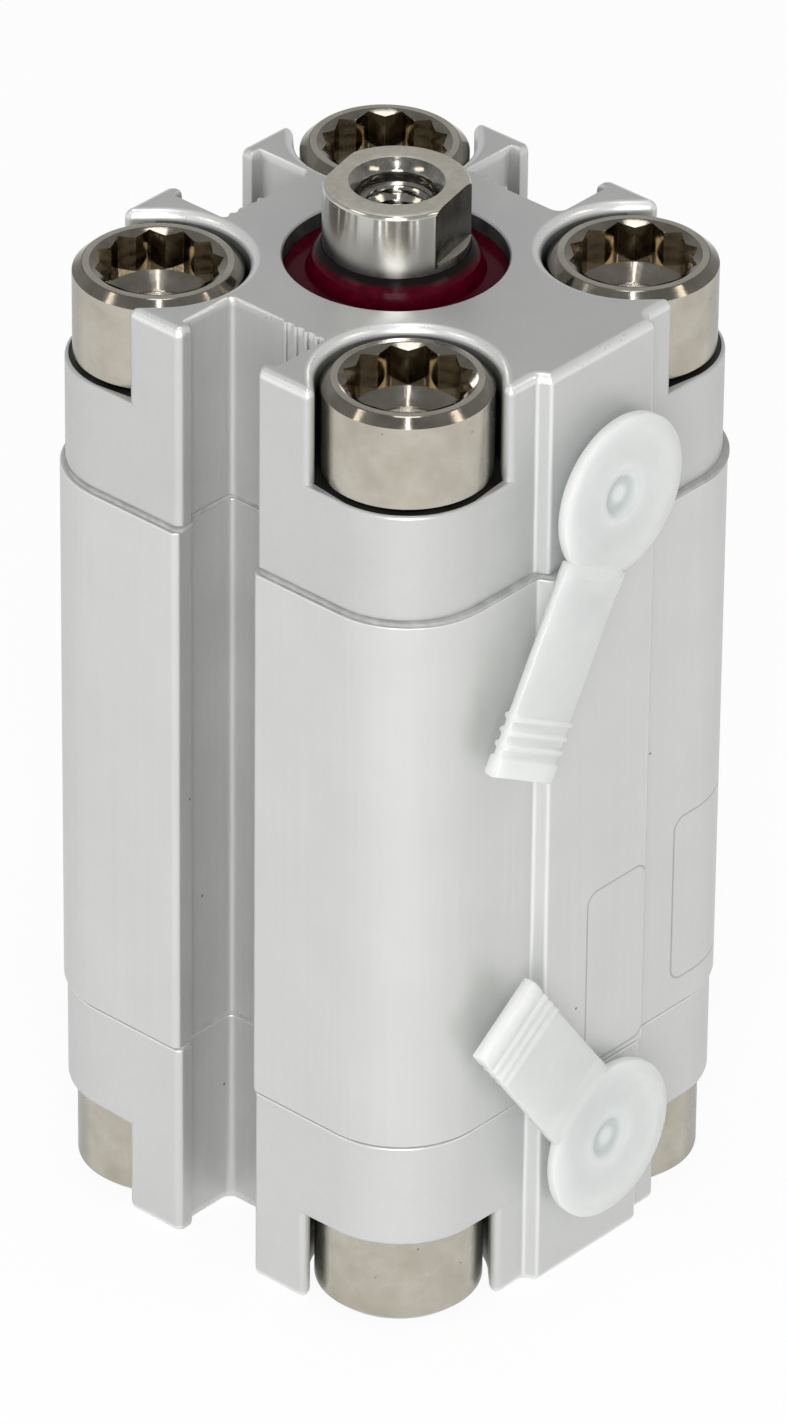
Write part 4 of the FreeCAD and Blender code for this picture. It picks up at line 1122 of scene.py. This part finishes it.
def port_plug(name, inset, level, angle, reach):
    """Plug in the port at a level, with its strap at an angle from +X and so long from the disc's axis."""
    mesh = bmesh.new()
    disc = [(0.0, PLUG_STEM_END, 0, 1), (1.6, PLUG_STEM_END, 0.1, 1), (PLUG_STEM, -4.1, 0.1, 1),
            (PLUG_STEM, PLUG_UNDER, 0.1, 1), (PLUG_RADIUS, PLUG_UNDER, 0.2, 1),
            (PLUG_RADIUS, PLUG_TOP, PLUG_EASE, 1), (PLUG_DISH, PLUG_TOP, 0.5, 1),
            (PLUG_DISH - 0.5, 1.6, 0.8, 1), (2.4, 1.54, 2.0, 1), (PLUG_RECESS, 1.5, 0.3, 1),
            (PLUG_RECESS - 0.3, PLUG_FLOOR, 0.3, 1), (0.0, PLUG_FLOOR, 0, 1)]
    line = outline(disc, step=0.06)
    lathe(mesh, [(point.x if point.x > LEVEL else 0, point.y) for point in line], 128)
    plug = settle(mesh, name, plug_finish(f"{name}_plastic", level))
    low, high = STRAP_LEVELS
    root = PLUG_TOP + STRAP_STEP
    top = [(PLUG_DISH + STRAP_ROOT, root, 0, 1), (PLUG_RADIUS + STRAP_DROP[0], root, 0.5, 1),
           (PLUG_RADIUS + STRAP_DROP[1], high, 0.5, 1)]
    raised = high + GRIP_HEIGHT
    lip = reach - GRIP_LIP
    for place in range(GRIPS, 0, -1):
        start = lip - GRIP_PITCH * place
        end = start + GRIP_PITCH / 2
        top += [(start, high, 0.1, 1), (start + GRIP_SLOPE, raised, 0.12, 1),
                (end - GRIP_SLOPE, raised, 0.12, 1), (end, high, 0.1, 1)]
    top += [(lip, high, 0.1, 1), (lip + GRIP_SLOPE, raised, 0.12, 1), (reach, raised, 0.25, 1)]
    under = [(x, low + high - y, radius, ease) for x, y, radius, ease in top]
    strap = bmesh.new()
    low_face, high_face = eased_wall(strap, under + top[::-1], (-STRAP_HALF, STRAP_HALF),
                                     (PLUG_EASE, PLUG_EASE), parts=3)
    fill_flat(strap, low_face)
    fill_flat(strap, high_face)
    laid = Matrix(((1, 0, 0, 0), (0, 0, -1, 0), (0, 1, 0, 0), (0, 0, 0, 1)))
    bmesh.ops.transform(strap, verts=strap.verts, matrix=laid)
    cut_away(plug, settle(strap, "strap"), "UNION")
    along = Vector((math.cos(math.radians(angle)), 0, math.sin(math.radians(angle))))
    out = Vector((0, -1, 0))
    across = out.cross(along)
    turn = Matrix((along, across, out)).transposed().to_4x4()
    # Pale edges on the disc's rim and the strap: painted light, where light comes through the thin plastic.
    edges = plug.data.attributes.get("wear_and_sheen") or plug.data.attributes.new("wear_and_sheen", "FLOAT", "POINT")
    for point in plug.data.vertices:
        beyond = math.hypot(point.co.x, point.co.y) / MM > PLUG_RADIUS - PALE_RIM
        on_edge = point.co.z / MM > PALE_LEVEL and abs(point.normal.z) < PALE_FACING
        edges.data[point.index].value = float(beyond and on_edge)
    pad = BARREL_FLAT - inset + PAD_HEIGHT
    plug.data.transform(Matrix.Translation(Vector((0, -pad, level)) * MM) @ turn)
    even_shading(plug)
    return plug


front_plug = port_plug("front_port_stopper", FRONT_INSET, FRONT_FACE - PORT_DISTANCE, FRONT_STRAP_TURN,
                       FRONT_STRAP_REACH)
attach(front_plug, "front_plug")
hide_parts("front_port_plug")
rear_plug = port_plug("rear_port_stopper", REAR_INSET, PORT_DISTANCE, REAR_STRAP_TURN, REAR_STRAP_REACH)
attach(rear_plug, "rear_plug")
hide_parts("rear_port_plug")


# Studio: a pale floor that runs out of sight under a pale grey surround. A soft key light stands under
# the camera and a large soft light on each side; narrow strips draw the bright lines on the turned metal.

FLOOR_REACH = 3000
FLOOR_ROUNDING = 800
FLOOR_LEVELS = (-20.0, -0.02)
FLOOR_SEEN = 0.92
FLOOR_MIRRORED = 0.5
LIGHT_CENTRE = Vector((0, 0, 0.03))
WHITE = (1.0, 1.0, 1.0)
WARM = (1.0, 0.92, 0.78)

floor_mesh = bmesh.new()
floor_line = [(x * FLOOR_REACH, y * FLOOR_REACH, FLOOR_ROUNDING, 1)
              for x, y in ((-1, -1), (1, -1), (1, 1), (-1, 1))]
low, high = eased_wall(floor_mesh, floor_line, FLOOR_LEVELS, (0.0, 0.0))
fill_flat(floor_mesh, low)
fill_flat(floor_mesh, high)
finish = bpy.data.materials.new("floor_white")
finish.use_nodes = True
tree = finish.node_tree
shader = tree.nodes["Principled BSDF"]
shader.inputs["Base Color"].default_value = (0.86, 0.86, 0.86, 1)
shader.inputs["Roughness"].default_value = 0.7
glow = tree.nodes.new("ShaderNodeEmission")
rays = tree.nodes.new("ShaderNodeLightPath")
mixed = tree.nodes.new("ShaderNodeMixShader")
mirrored = worked(tree, "MAXIMUM", rays.outputs["Is Glossy Ray"], rays.outputs["Is Transmission Ray"])
seen = worked(tree, "MAXIMUM", worked(tree, "MULTIPLY", rays.outputs["Is Camera Ray"], FLOOR_SEEN),
              worked(tree, "MULTIPLY", mirrored, FLOOR_MIRRORED))
tree.links.new(seen, mixed.inputs[0])
tree.links.new(shader.outputs[0], mixed.inputs[1])
tree.links.new(glow.outputs[0], mixed.inputs[2])
tree.links.new(mixed.outputs[0], tree.nodes["Material Output"].inputs["Surface"])
floor = settle(floor_mesh, "studio_floor", finish)
floor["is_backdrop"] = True

world = bpy.data.worlds.new("studio_surround")
scene.world = world
world.use_nodes = True
tree = world.node_tree
surround = tree.nodes["Background"]
direction = tree.nodes.new("ShaderNodeTexCoord")
parts = tree.nodes.new("ShaderNodeSeparateXYZ")
tree.links.new(direction.outputs["Generated"], parts.inputs["Vector"])
shade = between(tree, parts.outputs["Z"], 0.05, 0.75, 0.0, 1.0)
tree.links.new(blend_colour(tree, shade, (0.58, 0.58, 0.58), (0.43, 0.43, 0.43)), surround.inputs["Color"])


def soft_light(name, azimuth, elevation, distance, width, height, power, colour):
    """Rectangular soft light at an azimuth and elevation round the object's middle, facing it."""
    data = bpy.data.lights.new(name, "AREA")
    data.shape = "RECTANGLE"
    data.size = width
    data.size_y = height
    data.energy = power
    data.color = colour
    lamp = bpy.data.objects.new(name, data)
    turn, rise = math.radians(azimuth), math.radians(elevation)
    back = Vector((math.sin(turn) * math.cos(rise), -math.cos(turn) * math.cos(rise), math.sin(rise)))
    lamp.location = LIGHT_CENTRE + back * distance
    lamp.rotation_euler = back.to_track_quat("Z", "Y").to_euler()
    scene.collection.objects.link(lamp)


soft_light("key_light", -49.0, 22.0, 0.9, 0.4, 0.5, 6.1, WHITE)
soft_light("streak_light", -47.0, 57.0, 0.9, 0.04, 0.55, 0.9, WHITE)
soft_light("left_strip", -120.0, 46.0, 0.9, 0.32, 0.14, 0.55, WARM)
soft_light("right_strip", 26.0, 46.0, 0.9, 0.32, 0.14, 0.55, WARM)
soft_light("top_strip", 132.0, 83.0, 0.9, 0.2, 0.2, 0.55, WHITE)
soft_light("cone_strip", -48.0, 86.0, 0.9, 0.04, 0.2, 0.14, WHITE)
soft_light("left_light", -125.0, 8.0, 1.2, 1.2, 0.6, 1.2, WHITE)
soft_light("right_light", 30.0, 8.0, 1.2, 1.2, 0.6, 0.5, WHITE)


# Camera: a long lens at the height and turn of the photograph, rolled by half a degree.

CAMERA_TURN = math.radians(-48.0896)
CAMERA_RISE = math.radians(32.1143)
CAMERA_ROLL = math.radians(0.5885)
CAMERA_DISTANCE = 609.918
TARGET = Vector((0, 0, 29.0))
TARGET_SHIFT = (0.10841, 0.02552)
SENSOR = 36.0
PHOTO_FOCAL = 11111.75
PHOTO_HEIGHT = 1424

back = Vector((math.sin(CAMERA_TURN) * math.cos(CAMERA_RISE), -math.cos(CAMERA_TURN) * math.cos(CAMERA_RISE),
               math.sin(CAMERA_RISE)))
right = (-back).cross(Vector((0, 0, 1))).normalized()
up = right.cross(-back)
right, up = (right * math.cos(CAMERA_ROLL) + up * math.sin(CAMERA_ROLL),
             up * math.cos(CAMERA_ROLL) - right * math.sin(CAMERA_ROLL))
target = TARGET + right * TARGET_SHIFT[0] + up * TARGET_SHIFT[1]
eye = target + back * CAMERA_DISTANCE
lens = bpy.data.cameras.new("photo_lens")
lens.sensor_fit = "AUTO"
lens.sensor_width = SENSOR
lens.lens = PHOTO_FOCAL / PHOTO_HEIGHT * SENSOR
lens.clip_start = 0.01
lens.clip_end = 20.0
camera = bpy.data.objects.new("photo_camera", lens)
stand = Matrix((right, up, back)).transposed().to_4x4()
stand.translation = eye * MM
camera.matrix_world = stand
scene.collection.objects.link(camera)
scene.camera = camera
scene.view_settings.view_transform = "Standard"

low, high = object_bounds()
